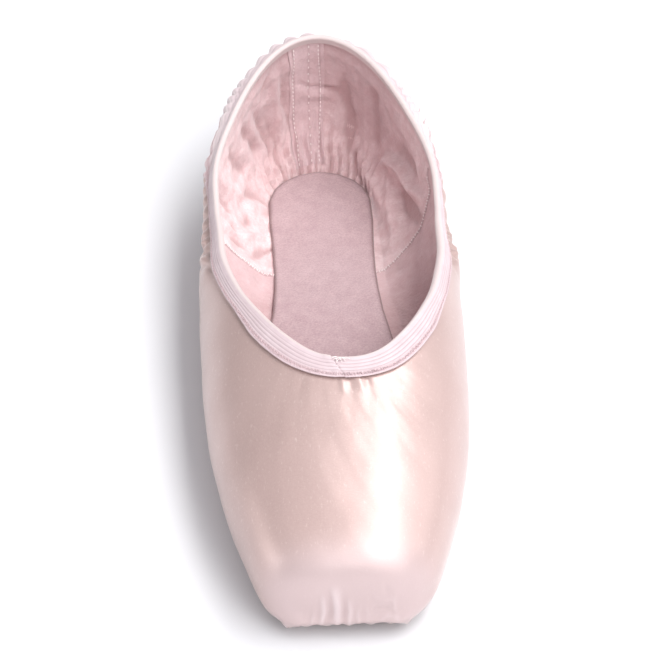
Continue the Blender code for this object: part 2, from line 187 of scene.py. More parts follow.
# %% [markdown]
# ## The form between the sections
# The half width at any place is all that the rest of the notebook needs to know of the last.
# Drawn in by a wall's thickness it gives the inside, so satin and lining follow one form.

# %% Width of the last
def rim_lift(t, inset, rim):
    radius = max(rim - np.max(inset), rim / 8)
    depth = np.clip(1 - (t - inset) / radius, 0, 1)
    return radius * (1 - np.sqrt(1 - depth**2))


def half_width(t, z, inset=0.0):
    """Half the last's width at t from the toe and height z, drawn in by inset all round."""
    half, crown, middle, floor, power = [smooth(SECTIONS[0], row, t) for row in SECTIONS[1:]]
    lift = rim_lift(t, inset, PLATFORM_RIM)
    low_end = root(1 - floor**power, power)
    depth = (middle - seat(t)) / low_end - inset - rim_lift(t, inset, PLATFORM_EDGE)
    above = (z - middle) / (crown - inset - lift - middle)
    below = (middle - z) / depth
    outward_share = np.where(z > middle, above, below)
    width = (half - inset - lift) * root(1 - np.clip(outward_share, 0, 1) ** power, power)
    low = np.clip(below / low_end, 0, 1)
    high = np.clip((z - middle) / (HEEL_HEIGHT - middle), 0, 1)
    heel = HEEL_ROUND - inset - HEEL_TUCK * low**2.2 - HEEL_LEAN * high**3
    past = np.clip((t - LENGTH + HEEL_ROUND) / heel, 0, 1)
    plan_power = 2 + 1.6 * low**2
    width = width * root(1 - past**plan_power, plan_power)
    return np.where(t < inset, 0.0, width)


def floor_height(t, inset=0.0):
    return seat(t) + inset + rim_lift(t, inset, PLATFORM_EDGE)


def floor_half_width(t, inset=0.0):
    return half_width(t, floor_height(t, inset), inset)


ball_place = (np.array([0.1]), np.array([0.02]))
print("ball half width in mm:", round(1000 * float(half_width(*ball_place)[0]), 1))

# %% [markdown]
# ## Walls, topline and sole
# The box is stiffened with glue and is thick, and the quarters are soft and thin. The throat
# leans a little to one side. The topline and the sole's outline are curves on the same form.

# %% Walls, topline and sole
def wall(t):
    return mix(BOX_WALL, QUARTER_WALL, ramp(t / BOX_LENGTH, 0.9, 1.1))


def sway(t, z):
    high = np.clip((z / THROAT_HEIGHT - 0.4) / 0.5, 0, 1)
    toward = np.clip(t / VAMP_LENGTH, 0, 1)
    back = np.clip((t - VAMP_LENGTH) / (LENGTH - VAMP_LENGTH), 0, 1)
    return COLLAR_SWAY * high**2 * toward**2 * (1 - back) ** 2


def topline(t):
    throat = smooth(SECTIONS[0], SECTIONS[2], VAMP_LENGTH)
    share = np.clip((t - VAMP_LENGTH) / (LOW_POINT - VAMP_LENGTH), 0, 1)
    front = mix(throat, SIDE_HEIGHT, smooth(*zip(*COLLAR_ROWS), share))
    back = np.clip((t - LOW_POINT) / (LENGTH - LOW_POINT), 0, 1)
    rise = (HEEL_HEIGHT - SIDE_HEIGHT) * back**1.6
    return front + rise + np.clip(VAMP_LENGTH - t, 0, None)


def sole_half_width(t, inset=0.0):
    front = SOLE_FRONT + inset
    back = LENGTH - HEEL_TUCK - SOLE_BACK - inset
    stations, widths = zip(*SOLE_ROWS)
    body = smooth(np.array(stations) * LENGTH, widths, t) * floor_half_width(t) - inset
    ahead = np.clip(1 - (t - front) / SOLE_FRONT_ROUND, 0, 1)
    behind = np.clip(1 - (back - t) / SOLE_BACK_ROUND, 0, 1)
    rounded = body * root(1 - ahead**2, 2) * root(1 - behind**2, 2)
    return np.where((t > front) & (t < back), rounded, 0)


print("topline at the throat in mm:", round(1000 * float(topline(np.array([VAMP_LENGTH]))[0]), 1))

# %% [markdown]
# ## Columns round the shoe
# Cloth is described by a grid: columns stand round the shoe from the toe's middle, and rows
# climb from under the sole to the top edge. Rays from the inside of the shoe find where each
# column meets the last.

# %% Rays and paths
Columns = namedtuple("Columns", "pivot facing along")


def farthest(inside, shape):
    """For each ray, how far it goes before it leaves the shape."""
    near, far = np.zeros(shape), np.full(shape, LENGTH)
    for _ in range(30):
        halfway = (near + far) / 2
        within = inside(halfway)
        near, far = np.where(within, halfway, near), np.where(within, far, halfway)
    return near


def place(columns, reach):
    return reach * np.sin(columns.facing), columns.pivot - reach * np.cos(columns.facing)


def hit(columns, climb, layer):
    """Where rays that climb from the columns' pivots meet one layer of the wall."""
    pivot_z = PIVOT_HEIGHT * THROAT_HEIGHT

    def inside(reach):
        x, t = place(columns, reach * np.cos(climb))
        z = pivot_z + reach * np.sin(climb)
        return np.abs(x - sway(t, z)) < half_width(t, z, layer * wall(t))

    reach = farthest(inside, np.shape(climb))
    x, t = place(columns, reach * np.cos(climb))
    return x, t, pivot_z + reach * np.sin(climb)


def outline(columns, width_at):
    """Where level rays from the columns' pivots leave a plan shape."""

    def inside(reach):
        x, t = place(columns, reach)
        return np.abs(x) < width_at(t)

    return farthest(inside, columns.pivot.shape)


def spread(columns, count):
    return Columns(*(np.repeat(values[:, None], count, 1) for values in columns))


straight_ahead = Columns(np.array([0.1]), np.array([0.0]), None)
floor_ahead = outline(straight_ahead, floor_half_width)
print("floor in front of t = 0.1, in mm:", round(1000 * float(floor_ahead[0]), 1))

# %% [markdown]
# ## Even columns
# Columns stand at even steps along the outline and a little closer at the toe, where the
# pleats are small. The angle at which each one meets the topline is found by halving.

# %% Place the columns
def make_columns(count, toe_density=0.6):
    """Columns evenly spaced along the outline, a little closer at the toe."""
    steps = 400
    fan = np.linspace(0, np.pi / 2, steps, endpoint=False)
    straight = np.linspace(FRONT_PIVOT, BACK_PIVOT, steps)
    pivot = LENGTH * np.concatenate([np.full(steps, FRONT_PIVOT), straight, np.full(steps, BACK_PIVOT)])
    facing = np.concatenate([fan, np.full(steps, np.pi / 2), np.pi / 2 + np.append(fan[1:], np.pi / 2)])
    x, t, z = hit(Columns(pivot, facing, None), np.zeros(len(pivot)), 0)
    length = np.hypot(np.diff(x), np.diff(t))
    along = np.concatenate([[0], np.cumsum(length)])
    weight = length * (1 + toe_density * bell(t[1:] + t[:-1], 0, 0.06))
    measure = np.concatenate([[0], np.cumsum(weight)])
    spots = np.linspace(0, measure[-1], count // 2 + 1)
    right = [np.interp(spots, measure, values) for values in (pivot, facing, along)]
    left = [values[-2:0:-1] for values in right]
    signs = (1, -1, -1)
    return Columns(*(np.concatenate([r, s * l]) for r, l, s in zip(right, left, signs)))


def climb_of(columns, points):
    """The angle at which a ray climbs from its pivot to a point."""
    ahead = np.sin(columns.facing) * points[..., 0]
    ahead = ahead - np.cos(columns.facing) * (points[..., 1] - columns.pivot)
    return np.arctan2(points[..., 2] - PIVOT_HEIGHT * THROAT_HEIGHT, ahead)


def collar_climb(columns):
    """The angle at which each column meets the topline."""
    low, high = np.zeros(columns.pivot.shape), np.full(columns.pivot.shape, np.radians(89))
    for _ in range(26):
        halfway = (low + high) / 2
        x, t, z = hit(columns, halfway, 0)
        low, high = np.where(z < topline(t), halfway, low), np.where(z < topline(t), high, halfway)
    return low


columns = make_columns(760)
top_climb = collar_climb(columns)
print("columns round the shoe:", len(columns.pivot))

# %% [markdown]
# ## Grids of cloth
# Each layer gets a grid of points with two measures on it, in metres: how far round the shoe
# a point is from the toe's middle, and how far down it is from the top edge. Seams, stitches
# and creases are later placed with these two measures, as a sewer would with a tape.

# %% Build the grids
Cloth = namedtuple("Cloth", "points round down normal")


def normals_of(points):
    """Outward normals of a grid, columns first and rows upward."""
    round_way = np.roll(points, -1, 0) - np.roll(points, 1, 0)
    return unit(np.cross(round_way, np.gradient(points, axis=1)))


def travelled(path):
    step = np.linalg.norm(np.diff(path, axis=1), axis=-1)
    return np.pad(np.cumsum(step, axis=1), ((0, 0), (1, 0)))


def at_measures(path, measure, wanted):
    """Points of each path where its measure has the wanted values."""
    found = np.empty((len(path), wanted.shape[1], 3))
    for column in range(len(path)):
        for axis in range(3):
            found[column, :, axis] = np.interp(wanted[column], measure[column], path[column, :, axis])
    return found


def collar_edge(columns, climb, layer):
    """Where a layer meets the top edge, straight through the wall."""
    near = np.stack(hit(spread(columns, 3), climb[:, None] - np.radians([[1.0, 0.5, 0.0]]), 0), -1)
    edge = near[:, -1]
    return edge - normals_of(near)[:, -1] * layer * wall(edge[:, 1])[:, None]


print("a layer of cloth holds:", Cloth._fields)

# %% [markdown]
# ## One layer of cloth
# Every layer is cut by the same function, on the outside of the wall or on its inside. The
# lower corners of the platform are rubbed round in wear, more on one side than on the other.

# %% Cut a layer
CORNER_EASE_LEFT, CORNER_EASE_RIGHT = 0.0009, 0.0026


def toe_corners(points):
    """The platform's lower corners are worn rounder than the box, more so on the right."""
    x, t, z = points[..., 0], points[..., 1], points[..., 2]
    low = (1 - ramp(z, 0.001, 0.015)) * (1 - ramp(t, 0.008, 0.026))
    moved = points.copy()
    eased = CORNER_EASE_LEFT * ramp(-x, 0.010, 0.022) - CORNER_EASE_RIGHT * ramp(x, 0.008, 0.022)
    moved[..., 0] += low * eased
    return moved


def cloth_grid(columns, climb, layer, floor_rows, wall_rows, near_rows, near_reach):
    """One layer of the upper, with rows from under the sole to the top edge."""
    start = outline(columns, lambda t: sole_half_width(t, MARGIN))
    end = outline(columns, lambda t: floor_half_width(t, layer * wall(t)))
    reach = mix(start[:, None], end[:, None], np.linspace(0, 1, floor_rows + 1) ** 0.7)
    x, t = place(spread(columns, floor_rows + 1), reach)
    floor = np.stack([x, t, floor_height(t, layer * wall(t))], -1)
    first = climb_of(columns, floor[:, -1])
    last = climb_of(columns, collar_edge(columns, climb, layer))
    fine = 150
    climbs = mix(first[:, None], last[:, None], np.linspace(0, 1, fine))
    path = np.stack(hit(spread(columns, fine), climbs, layer), -1)
    measure = travelled(path)
    total = measure[:, -1:]
    lower = (total - near_reach) * np.linspace(0, 1, wall_rows + 1)[1:]
    upper = total - near_reach * (1 - np.linspace(0, 1, near_rows + 1)[1:])
    wanted = np.concatenate([lower, upper], 1)
    walls = at_measures(path, measure, wanted)
    points = toe_corners(np.concatenate([floor, walls], 1))
    down = np.concatenate([total + travelled(floor)[:, -1:] - travelled(floor), total - wanted], 1)
    run = np.repeat(columns.along[:, None], points.shape[1], 1)
    return Cloth(points, run, down, normals_of(points))


SKIVED_SHARE, SKIVED_REACH = 0.55, 0.009


def skived(cloth, layer):
    """Leather and cloth are thinned towards the top edge, so that the binding folds flat."""
    lift = SKIVED_SHARE * layer * wall(cloth.points[..., 1]) * (1 - ramp(cloth.down, 0, SKIVED_REACH))
    return cloth._replace(points=cloth.points + cloth.normal * lift[..., None])


outer = cloth_grid(columns, top_climb, 0, 10, 62, 26, 0.016)
print("satin grid:", outer.points.shape[:2])

# %% [markdown]
# ## Meshes from rings
# A layer with real thickness is a closed tube of rings: up the outside, over the edge and
# down the hidden side. Every piece made here is closed, as real cloth has two sides.

# %% Turn rings into a piece
def to_world(points):
    return points - np.array([0, LENGTH / 2, 0])


def add_piece(name, vertices, faces, nodes, marks=None, sharp=60):
    """Links a mesh, rides it on the shoe and hides the CAD parts it stands for."""
    mesh = bpy.data.meshes.new(name)
    mesh.from_pydata(np.asarray(vertices).tolist(), [], faces)
    mesh.shade_smooth()
    mesh.set_sharp_from_angle(angle=math.radians(sharp))
    for mark, values in (marks or {}).items():
        stored = mesh.attributes.new(mark, "FLOAT", "POINT")
        stored.data.foreach_set("value", np.ravel(values).astype(np.float32))
    piece = bpy.data.objects.new(name, mesh)
    bpy.context.collection.objects.link(piece)
    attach(piece, "root")
    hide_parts(*nodes)
    return piece


def ring_faces(count, around, closed):
    index = np.arange(count * around).reshape(count, around)
    low = index if closed else index[:-1]
    high = np.roll(index, -1, 0) if closed else index[1:]
    quads = np.stack([low, np.roll(low, -1, 1), np.roll(high, -1, 1), high], -1).reshape(-1, 4)
    return quads.tolist()


def ring_piece(name, rings, nodes, marks=None, sharp=60):
    """A closed tube of rings, each ring going all round the shoe."""
    faces = ring_faces(*rings.shape[:2], True)
    return add_piece(name, to_world(rings.reshape(-1, 3)), faces, nodes, marks, sharp)


def slab(name, low, high, nodes, marks=None):
    """A thin closed sheet between two grids of points."""
    rows, wide = low.shape[:2]
    index = np.arange(rows * wide).reshape(rows, wide)
    lower = np.stack([index[:-1, :-1], index[:-1, 1:], index[1:, 1:], index[1:, :-1]], -1).reshape(-1, 4)
    rim = np.concatenate([index[0], index[1:, -1], index[-1, -2::-1], index[-2:0:-1, 0]])
    side = np.stack([rim, np.roll(rim, -1), np.roll(rim, -1) + rows * wide, rim + rows * wide], -1)
    faces = lower[:, ::-1].tolist() + (lower + rows * wide).tolist() + side.tolist()
    points = np.concatenate([low.reshape(-1, 3), high.reshape(-1, 3)])
    return add_piece(name, to_world(points), faces, nodes, marks)


print("faces of a closed tube of 4 rings of 6 points:", len(ring_faces(4, 6, True)))

# %% [markdown]
# ## Threads, and places on a cloth
# A sewing thread is a thin tube with closed ends. A stitch has to lie on the cloth after its
# wrinkles are made, so its place is looked up on the shaped cloth from the two measures.

# %% Threads and places
def threads(name, lines, radius, nodes):
    """Sewing threads: a six-sided tube with closed ends along each line."""
    vertices, faces, sides = [], [], 6
    angle = np.linspace(0, 2 * np.pi, sides, endpoint=False)[None, :, None]
    for line in lines:
        line = np.asarray(line)
        way = unit(np.gradient(line, axis=0))
        across = unit(np.cross(way, [0.31, 0.22, 0.92]))
        thick = np.full(len(line), radius)
        thick[[0, -1]] *= 0.5
        ring = across[:, None] * np.cos(angle) + np.cross(way, across)[:, None] * np.sin(angle)
        base = sum(len(part) for part in vertices)
        vertices.append((line[:, None] + ring * thick[:, None, None]).reshape(-1, 3))
        faces += [tuple(base + i for i in face) for face in ring_faces(len(line), sides, False)]
        faces.append(tuple(base + i for i in range(sides))[::-1])
        faces.append(tuple(base + (len(line) - 1) * sides + i for i in range(sides)))
    return add_piece(name, to_world(np.concatenate(vertices)), faces, nodes)


def surface_at(cloth, points, facing, rounds, downs, lift):
    """Points of a shaped cloth at measures in mm, raised along the side that faces out."""
    along, girth = cloth.round[:, 0] * 1000, 2 * np.max(np.abs(cloth.round)) * 1000
    order = np.argsort(along)
    places = np.concatenate([along[order] - girth, along[order], along[order] + girth])
    which = np.tile(order, 3)
    found = []
    for run, drop, raised in np.broadcast(rounds, downs, lift):
        spot = np.searchsorted(places, run)
        share = (run - places[spot - 1]) / (places[spot] - places[spot - 1])
        sides = []
        for column in (which[spot - 1], which[spot]):
            depth = cloth.down[column, ::-1] * 1000
            raised_points = points[column, ::-1] + facing[column, ::-1] * raised / 1000
            sides.append([np.interp(drop, depth, raised_points[:, axis]) for axis in range(3)])
        found.append(mix(np.array(sides[0]), np.array(sides[1]), share))
    return np.array(found)


throat_place = surface_at(outer, outer.points, outer.normal, 0.0, 10.0, 0.0)[0]
print("1 cm below the throat is at mm:", [round(1000 * float(v), 1) for v in throat_place])

# %% [markdown]
# ## How the satin lies
# The satin is stretched over the box while its glue is wet, so it lies smooth there. Under
# the toe the spare cloth is laid in pleats, and round the quarters the elastic binding draws
# it into small puffs. Behind the stiff wings it dips a little where the support ends.

# %% Crease a cloth
def crease(cloth, path, width, height):
    """A soft ridge, or a trough where height is negative, along a path in (round, down) mm.
    Round runs on across the heel, where the two sides of the shoe meet."""
    girth = 2 * np.max(np.abs(cloth.round)) * 1000
    path = np.array(path, float)
    steps = (np.diff(path, axis=0) + girth / 2) % girth - girth / 2
    steps[:, 1] = np.diff(path[:, 1])
    lengths = np.hypot(*steps.T)
    starts = np.concatenate([[0], np.cumsum(lengths)])
    nearest, share = np.full(cloth.round.shape, 1e9), np.zeros(cloth.round.shape)
    for corner, step, length, start in zip(path, steps, lengths, starts):
        x = (cloth.round * 1000 - corner[0] + girth / 2) % girth - girth / 2
        y = cloth.down * 1000 - corner[1]
        u = np.clip((x * step[0] + y * step[1]) / length**2, 0, 1)
        away = np.hypot(x - u * step[0], y - u * step[1])
        share = np.where(away < nearest, (start + u * length) / starts[-1], share)
        nearest = np.minimum(nearest, away)
    taper = 0.25 + 0.75 * np.sin(np.pi * share) ** 0.7
    return height / 1000 * taper * bell(nearest, 0, width)


test_ridge = crease(outer, ((0, 6), (0, 12)), 3.0, 1.0)
print("a ridge of 1 mm reaches, in mm:", round(1000 * float(test_ridge.max()), 2))

# %% [markdown]
# ## Pleats, puffs and wings
# Three forms come from how the shoe is made, so each is a formula of the two measures: the
# pleats that are glued under the toe, the gathers below the elastic, and the wings' ends.

# %% Pleats, puffs and wings
def pleats(cloth):
    t, height = cloth.points[..., 1], cloth.points[..., 2] - seat(cloth.points[..., 1])
    turn = np.abs(cloth.round) / PLEAT_PITCH
    wave = 0.5 - 0.5 * np.cos(2 * np.pi * turn)
    near_toe = np.clip((PLEAT_REACH + SOLE_FRONT - t) / PLEAT_REACH, 0, 1)
    low = np.clip(1.1 - height / PLATFORM_EDGE, 0, 1)
    return -PLEAT_DEPTH * wave**0.7 * np.minimum(1, 2 * near_toe) * low


PUFF_PITCH, PUFF_HEIGHT, HEEL_PUFF_HEIGHT = 0.0058, 0.0016, 0.0022
PUFF_BULGE, HEEL_BULGE = 0.0008, 0.0020


def puffs(cloth):
    """Small gathers that the elastic draws in the satin below the binding."""
    run, t = cloth.round, cloth.points[..., 1]
    turn = run / PUFF_PITCH + 0.45 * np.sin(run / 0.0093 + 0.8) + 0.30 * np.sin(run / 0.0053)
    wave = np.abs(np.cos(np.pi * turn + 25 * cloth.down)) ** 0.85
    uneven = 0.62 + 0.38 * np.sin(run / 0.0071 + 1.1) * np.sin(run / 0.0153)
    heel = ramp(t, 0.160, 0.212)
    top = mix(0.0055, 0.0008, heel)
    below = cloth.down - top
    fade = ramp(below, 0, 0.0028) * np.exp(-np.clip(below - 0.004, 0, None) / 0.0055)
    bulge = ramp(below, 0, 0.004) * (1 - ramp(cloth.down, 0.014, 0.034))
    beads = mix(PUFF_HEIGHT, HEEL_PUFF_HEIGHT, heel) * wave * uneven * fade
    return (beads + mix(PUFF_BULGE, HEEL_BULGE, heel) * bulge) * ramp(t, 0.122, 0.136)


WING_END, WING_SLOPE, WING_STEP = 0.143, 0.55, 0.0007


def wing_shoulder(cloth):
    """The stiff wing stands proud of the soft quarter behind it."""
    t = cloth.points[..., 1]
    end = WING_END + WING_SLOPE * np.clip(cloth.down - 0.008, 0, 0.03)
    rise = ramp(t, end - 0.03, end - 0.004) * (1 - ramp(t, end - 0.003, end + 0.001))
    return WING_STEP * rise * ramp(cloth.down, 0.004, 0.009)


print("tallest gather in mm:", round(1000 * float(puffs(outer).max()), 2))

# %% [markdown]
# ## Creases of this shoe
# Some folds belong to this one shoe, so they are placed one by one as soft ridges and troughs.
# A path is given in millimetres round from the toe's middle and down from the top edge.

# %% Creases in the satin
# Path, width and height in mm: gathers at the wings' ends, platform ridges, waves at the throat
SATIN_CREASES = (
    (((-149, 4.6), (-157, 9), (-166, 16)), 1.0, -0.55),
    (((-153, 4.6), (-161, 9.5), (-169, 17)), 1.2, 0.45),
    (((-157, 4.6), (-164, 8.5), (-172, 14)), 1.0, -0.60),
    (((-163, 4.6), (-169, 8), (-175, 11)), 1.1, 0.60),
    (((150, 4.6), (158, 9), (167, 15)), 1.0, -0.50),
    (((157, 4.6), (165, 8.5), (173, 13)), 1.0, -0.60),
    (((161, 4.6), (169, 8), (176, 11)), 1.1, 0.50),
    (((-7.9, 82), (-7.6, 88), (-8.8, 96)), 0.9, 0.50),
    (((-4.6, 79), (-3.8, 86), (-3.5, 96)), 1.3, 0.58),
    (((-0.4, 83), (0.1, 88), (-0.4, 96)), 0.8, 0.42),
    (((2.6, 86), (2.3, 90), (2.9, 96)), 0.7, 0.28),
    (((-10.6, 87), (-11.2, 96)), 0.8, 0.28),
    (((-6.1, 80), (-5.7, 88), (-6.6, 95)), 0.9, -0.34),
    (((-1.9, 81), (-1.6, 88), (-2.1, 95)), 0.8, -0.30),
    (((6.0, 80), (9.5, 84), (12.5, 82)), 1.1, 0.20),
    (((6.5, 88), (10.0, 86), (13.5, 89)), 1.0, -0.20),
    (((8.0, 93), (11.5, 90), (15.5, 92)), 0.9, 0.20),
    (((13.6, 79), (13.0, 85), (14.6, 92)), 0.9, 0.22),
    (((4.5, 83), (5.5, 89), (5.0, 95)), 1.0, 0.22),
    (((10.0, 77), (11.0, 81)), 0.9, -0.16),
    (((0, 6), (2, 9), (1, 13)), 3.0, 0.30),
    (((7, 6), (9, 9), (8, 12)), 2.8, -0.25),
    (((14, 6), (17, 9), (16, 13)), 3.4, 0.32),
    (((23, 6), (25, 8), (24, 11)), 2.8, -0.22),
)
print("creases in the satin:", len(SATIN_CREASES))

# %% [markdown]
# ## Felt over the box
# A layer of felt lies between the stiff box and the satin and rounds its edges. The grid is
# averaged with its neighbours where the box is, which softens it as felt does. The hidden
# side of the piece is made from the softened grid too, so that it stays below the satin.

# %% Soften the box
def padded(points, share, spreads):
    """Softens a grid where share is 1: felt under the satin rounds the box's edges."""
    soft_points = points
    for axis, spread_by in enumerate(spreads):
        steps = np.arange(-int(2.5 * spread_by), int(2.5 * spread_by) + 1)
        weights = np.exp(-0.5 * (steps / spread_by) ** 2)
        index = np.arange(points.shape[axis])[:, None] + steps
        index = index % points.shape[0] if axis == 0 else np.clip(index, 0, points.shape[1] - 1)
        gathered = np.take(soft_points, index, axis=axis)
        soft_points = np.tensordot(gathered, weights / weights.sum(), ([axis + 1], [0]))
    return mix(points, soft_points, share[..., None])


def soft_box(cloth, spreads):
    """Rounds the edges of the stiff box and leaves the rest of the cloth alone."""
    t, z = cloth.points[..., 1], cloth.points[..., 2]
    on_box = (1 - ramp(t, 0.045, 0.075)) * ramp(z, 0.007, 0.016)
    points = padded(cloth.points, on_box, spreads)
    return cloth._replace(points=points, normal=normals_of(points))


def hidden_layer(cloth, floor_rows, depth):
    """A few rows of the same cloth, deeper in the wall, which close the piece out of sight."""
    last = cloth.points.shape[1] - 1
    rows = np.concatenate([[0, floor_rows // 2], np.linspace(floor_rows, last, 14)]).astype(int)
    layer = Cloth(*(part[:, rows] for part in cloth))
    thinned = 1 - (1 - SKIVED_SHARE) * (1 - ramp(layer.down, 0, SKIVED_REACH))
    lift = depth * wall(layer.points[..., 1]) * thinned
    return layer._replace(points=layer.points - layer.normal * lift[..., None])


satin = soft_box(outer, (9.0, 3.6))
moved = np.linalg.norm(satin.points - outer.points, axis=-1)
print("felt moves the satin by at most, in mm:", round(1000 * float(moved.max()), 1))

# %% [markdown]
# ## The satin cover
# All the forms are added as one height over the padded box, with slow waves that never quite
# repeat. Two marks are kept on the mesh for the colours: what faces the front, and the folds; the
# colour paints highlight and shade with them.

# %% Shape the satin
def soft_noise(cloth, pitch, seed):
    """Slow waves in the cloth that never quite repeat."""
    u, v = cloth.round * 1000 / pitch, cloth.down * 1000 / pitch
    turns = ((1.0, 0.6, 1.7), (-0.7, 1.1, 2.9), (1.6, -0.9, 4.1), (0.4, 1.9, 5.3))
    return sum(np.sin(u * a + v * b + seed * c) for a, b, c in turns) / len(turns)


mid = hidden_layer(satin, 10, 0.5)
satin_height = pleats(satin) + puffs(satin) + wing_shoulder(satin)
satin_height = sum((crease(satin, *row) for row in SATIN_CREASES), satin_height)
slow_waves = 0.00013 * soft_noise(satin, 5.0, 3.0) + 0.00003 * soft_noise(satin, 1.9, 1.0)
satin_height = satin_height + slow_waves * ramp(satin.down, 0.004, 0.012)
on_platform = ramp(satin.down, 0.078, 0.086) * (satin.points[..., 1] < 0.02)
rubbed = bell(satin.round * 1000, 10, 6) * on_platform
satin_height = satin_height + 0.00012 * soft_noise(satin, 0.62, 2.0) * rubbed
satin_points = satin.points + satin.normal * satin_height[..., None]
satin_rings = np.concatenate([satin_points, mid.points[:, ::-1]], 1).transpose(1, 0, 2)
unseen = np.zeros(mid.points.shape[1::-1])
satin_marks = {
    # front: how much the satin faces the front, painted paler as a painted highlight
    "front": np.concatenate([ramp(-satin.normal[..., 1], 0.25, 0.95).T, unseen]),
    # fold heights, which the colour turns into painted highlight on ridges and painted shade in troughs
    "fold": np.concatenate([satin_height.T, unseen]) * 1000,
}
satin_cover = ring_piece("satin_cover", satin_rings, ["upper"], satin_marks)
print("satin faces:", len(satin_cover.data.polygons))

# %% [markdown]
# ## Lining
# The lining is soft cotton, a little bigger than the wall it covers, so it lies in loose
# wrinkles. Each wrinkle is placed one by one in millimetres round the shoe and down from the
# top edge.

# %% Cut the lining
lining_columns = make_columns(560, 0)
lining_climb = collar_climb(lining_columns)
lining_layer = cloth_grid(lining_columns, lining_climb, 1.0, 8, 70, 10, 0.006)
inner = soft_box(skived(lining_layer, 1.0), (4.2, 2.8))
backing = hidden_layer(inner, 8, -0.3)
print("lining grid:", inner.points.shape[:2])

# %% [markdown]
# ## Wrinkles in the lining
# Loose cotton folds where the foot has pushed it: in long slants on the left, in two big
# folds on the right, and in short gathers round the back of the insole.

# %% Wrinkles in the lining
# Path, width and height, all in mm, first on the left, then at the heel and on the right
LINING_CREASES = (
    (((-259.5, 5), (-260, 11), (-261.5, 26), (-263.7, 35), (-265.4, 46)), 1.8, -0.40),
    (((-256.0, 9), (-257.5, 25), (-259.5, 38), (-260.0, 48)), 2.2, 0.85),
    (((-254.0, 7), (-248.8, 12)), 1.3, -0.55),
    (((-243.9, 15), (-252.2, 36), (-255.9, 48)), 1.7, -0.75),
    (((-240.0, 17), (-248.5, 37), (-252.0, 48)), 2.2, 0.80),
    (((-234.2, 15), (-243.0, 30), (-250.8, 41)), 1.5, -0.65),
    (((-250.3, 21), (-257.7, 42), (-258.5, 49)), 1.5, -0.60),
    (((-229.0, 16), (-237.0, 31), (-243.0, 42)), 2.6, 0.60),
    (((-203.5, 15), (-205.0, 21), (-208.0, 29)), 1.7, -0.85),
    (((-208.0, 13), (-211.0, 21), (-214.0, 29)), 2.2, 0.70),
    (((-218.6, 33), (-228.0, 37), (-233.6, 43), (-237.5, 49)), 1.4, -0.75),
    (((-216.0, 37), (-226.0, 41), (-231.0, 47)), 2.1, 0.65),
    (((-198.0, 28), (-203.0, 31)), 2.3, -0.75),
    (((-207.6, 36), (-214.0, 38), (-220.8, 39)), 1.5, -0.65),
    (((-193.0, 20), (-197.0, 27), (-199.0, 37)), 2.0, 0.60),
    (((-196.0, 13), (-201.0, 24), (-203.0, 33)), 1.5, 0.70),
    (((-189.5, 15), (-194.0, 26), (-195.0, 36)), 1.4, -0.60),
    (((-212.0, 17), (-218.0, 28), (-224.0, 35)), 1.7, 0.75),
    (((-199.0, 34), (-206.0, 40), (-212.0, 47)), 1.7, 0.75),
    (((-191.0, 37), (-197.0, 42), (-202.0, 47)), 1.5, -0.70),
    (((-221.0, 13), (-227.0, 24), (-233.0, 32)), 1.7, -0.75),
    (((-214.0, 9), (-221.0, 14)), 1.4, 0.45),
    (((263.0, 13), (263.8, 21), (260.7, 30), (260.9, 39), (257.0, 46), (256.0, 52)), 2.4, -0.95),
    (((267.5, 27), (266.0, 35), (264.5, 46)), 2.1, 0.60),
    (((-267.0, 19.4), (-271.3, 22.5), (271.3, 22.8), (265.3, 22.8), (262.5, 27)), 1.0, -0.75),
    (((-267.5, 24), (-271.5, 26), (270.0, 26), (266.0, 27)), 1.5, 0.50),
    (((258.5, 40), (248.7, 45), (236.0, 45), (220.0, 42)), 2.0, 0.90),
    (((258.0, 47), (249.3, 50), (240.0, 50)), 1.4, -0.60),
    (((243.0, 43), (240.8, 41), (236.5, 32), (225.6, 27), (212.0, 25), (202.0, 19)), 2.2, 2.20),
    (((222.0, 32), (212.0, 31), (204.0, 28), (197.0, 25)), 2.6, -1.30),
    (((234.0, 37), (220.0, 39), (206.0, 38), (199.0, 36)), 3.4, 1.60),
    (((233.0, 24), (224.0, 22), (214.0, 19)), 3.2, -0.80),
    (((222.0, 14), (212.0, 16), (206.0, 12)), 3.0, 0.55),
    (((263.4, 3), (260.0, 10), (257.0, 20)), 0.9, 0.30),
    (((250.0, 10), (248.0, 22), (247.0, 33)), 2.8, -0.55),
    (((254.5, 12), (253.0, 25), (252.5, 36)), 2.2, 0.50),
    (((243.0, 8), (238.0, 15), (234.0, 20)), 2.4, 0.45),
)
print("wrinkles placed by hand:", len(LINING_CREASES))

# %% [markdown]
# ## The lining
# The listed wrinkles, small slow waves and the heel's gathers are added up. Only the
# soft part behind the wings is loose, so the heights fade out towards the stiff box.

# %% Shape the lining
LINING_LOOSE, LINING_LIFT, LINING_DEEPEST = 1.9, 0.0007, -0.0004
GATHER_PITCH, GATHER_HEIGHT = 4.3, 0.00055
soft = ramp(inner.down, 0.003, 0.009) * ramp(inner.points[..., 1], 0.140, 0.160)
lining_height = sum((crease(inner, *row) for row in LINING_CREASES), np.zeros(inner.round.shape))
lining_height = lining_height + 0.00028 * soft_noise(inner, 2.9, 1.0)
lining_height = lining_height + 0.00012 * soft_noise(inner, 1.4, 2.0)
gather_wave = np.cos(inner.round * 1000 * 2 * np.pi / GATHER_PITCH + np.sin(inner.down * 400))
at_heel = ramp(inner.down, 0.032, 0.046) * ramp(inner.points[..., 1], 0.200, 0.212)
lining_height = lining_height + GATHER_HEIGHT * gather_wave * at_heel
lining_height = np.maximum((LINING_LOOSE * lining_height + LINING_LIFT) * soft, LINING_DEEPEST)
lining_points = inner.points - inner.normal * lining_height[..., None]
lining_rings = np.concatenate([backing.points, lining_points[:, ::-1]], 1).transpose(1, 0, 2)
print("loosest wrinkle in mm:", round(1000 * float(lining_height.max()), 1))
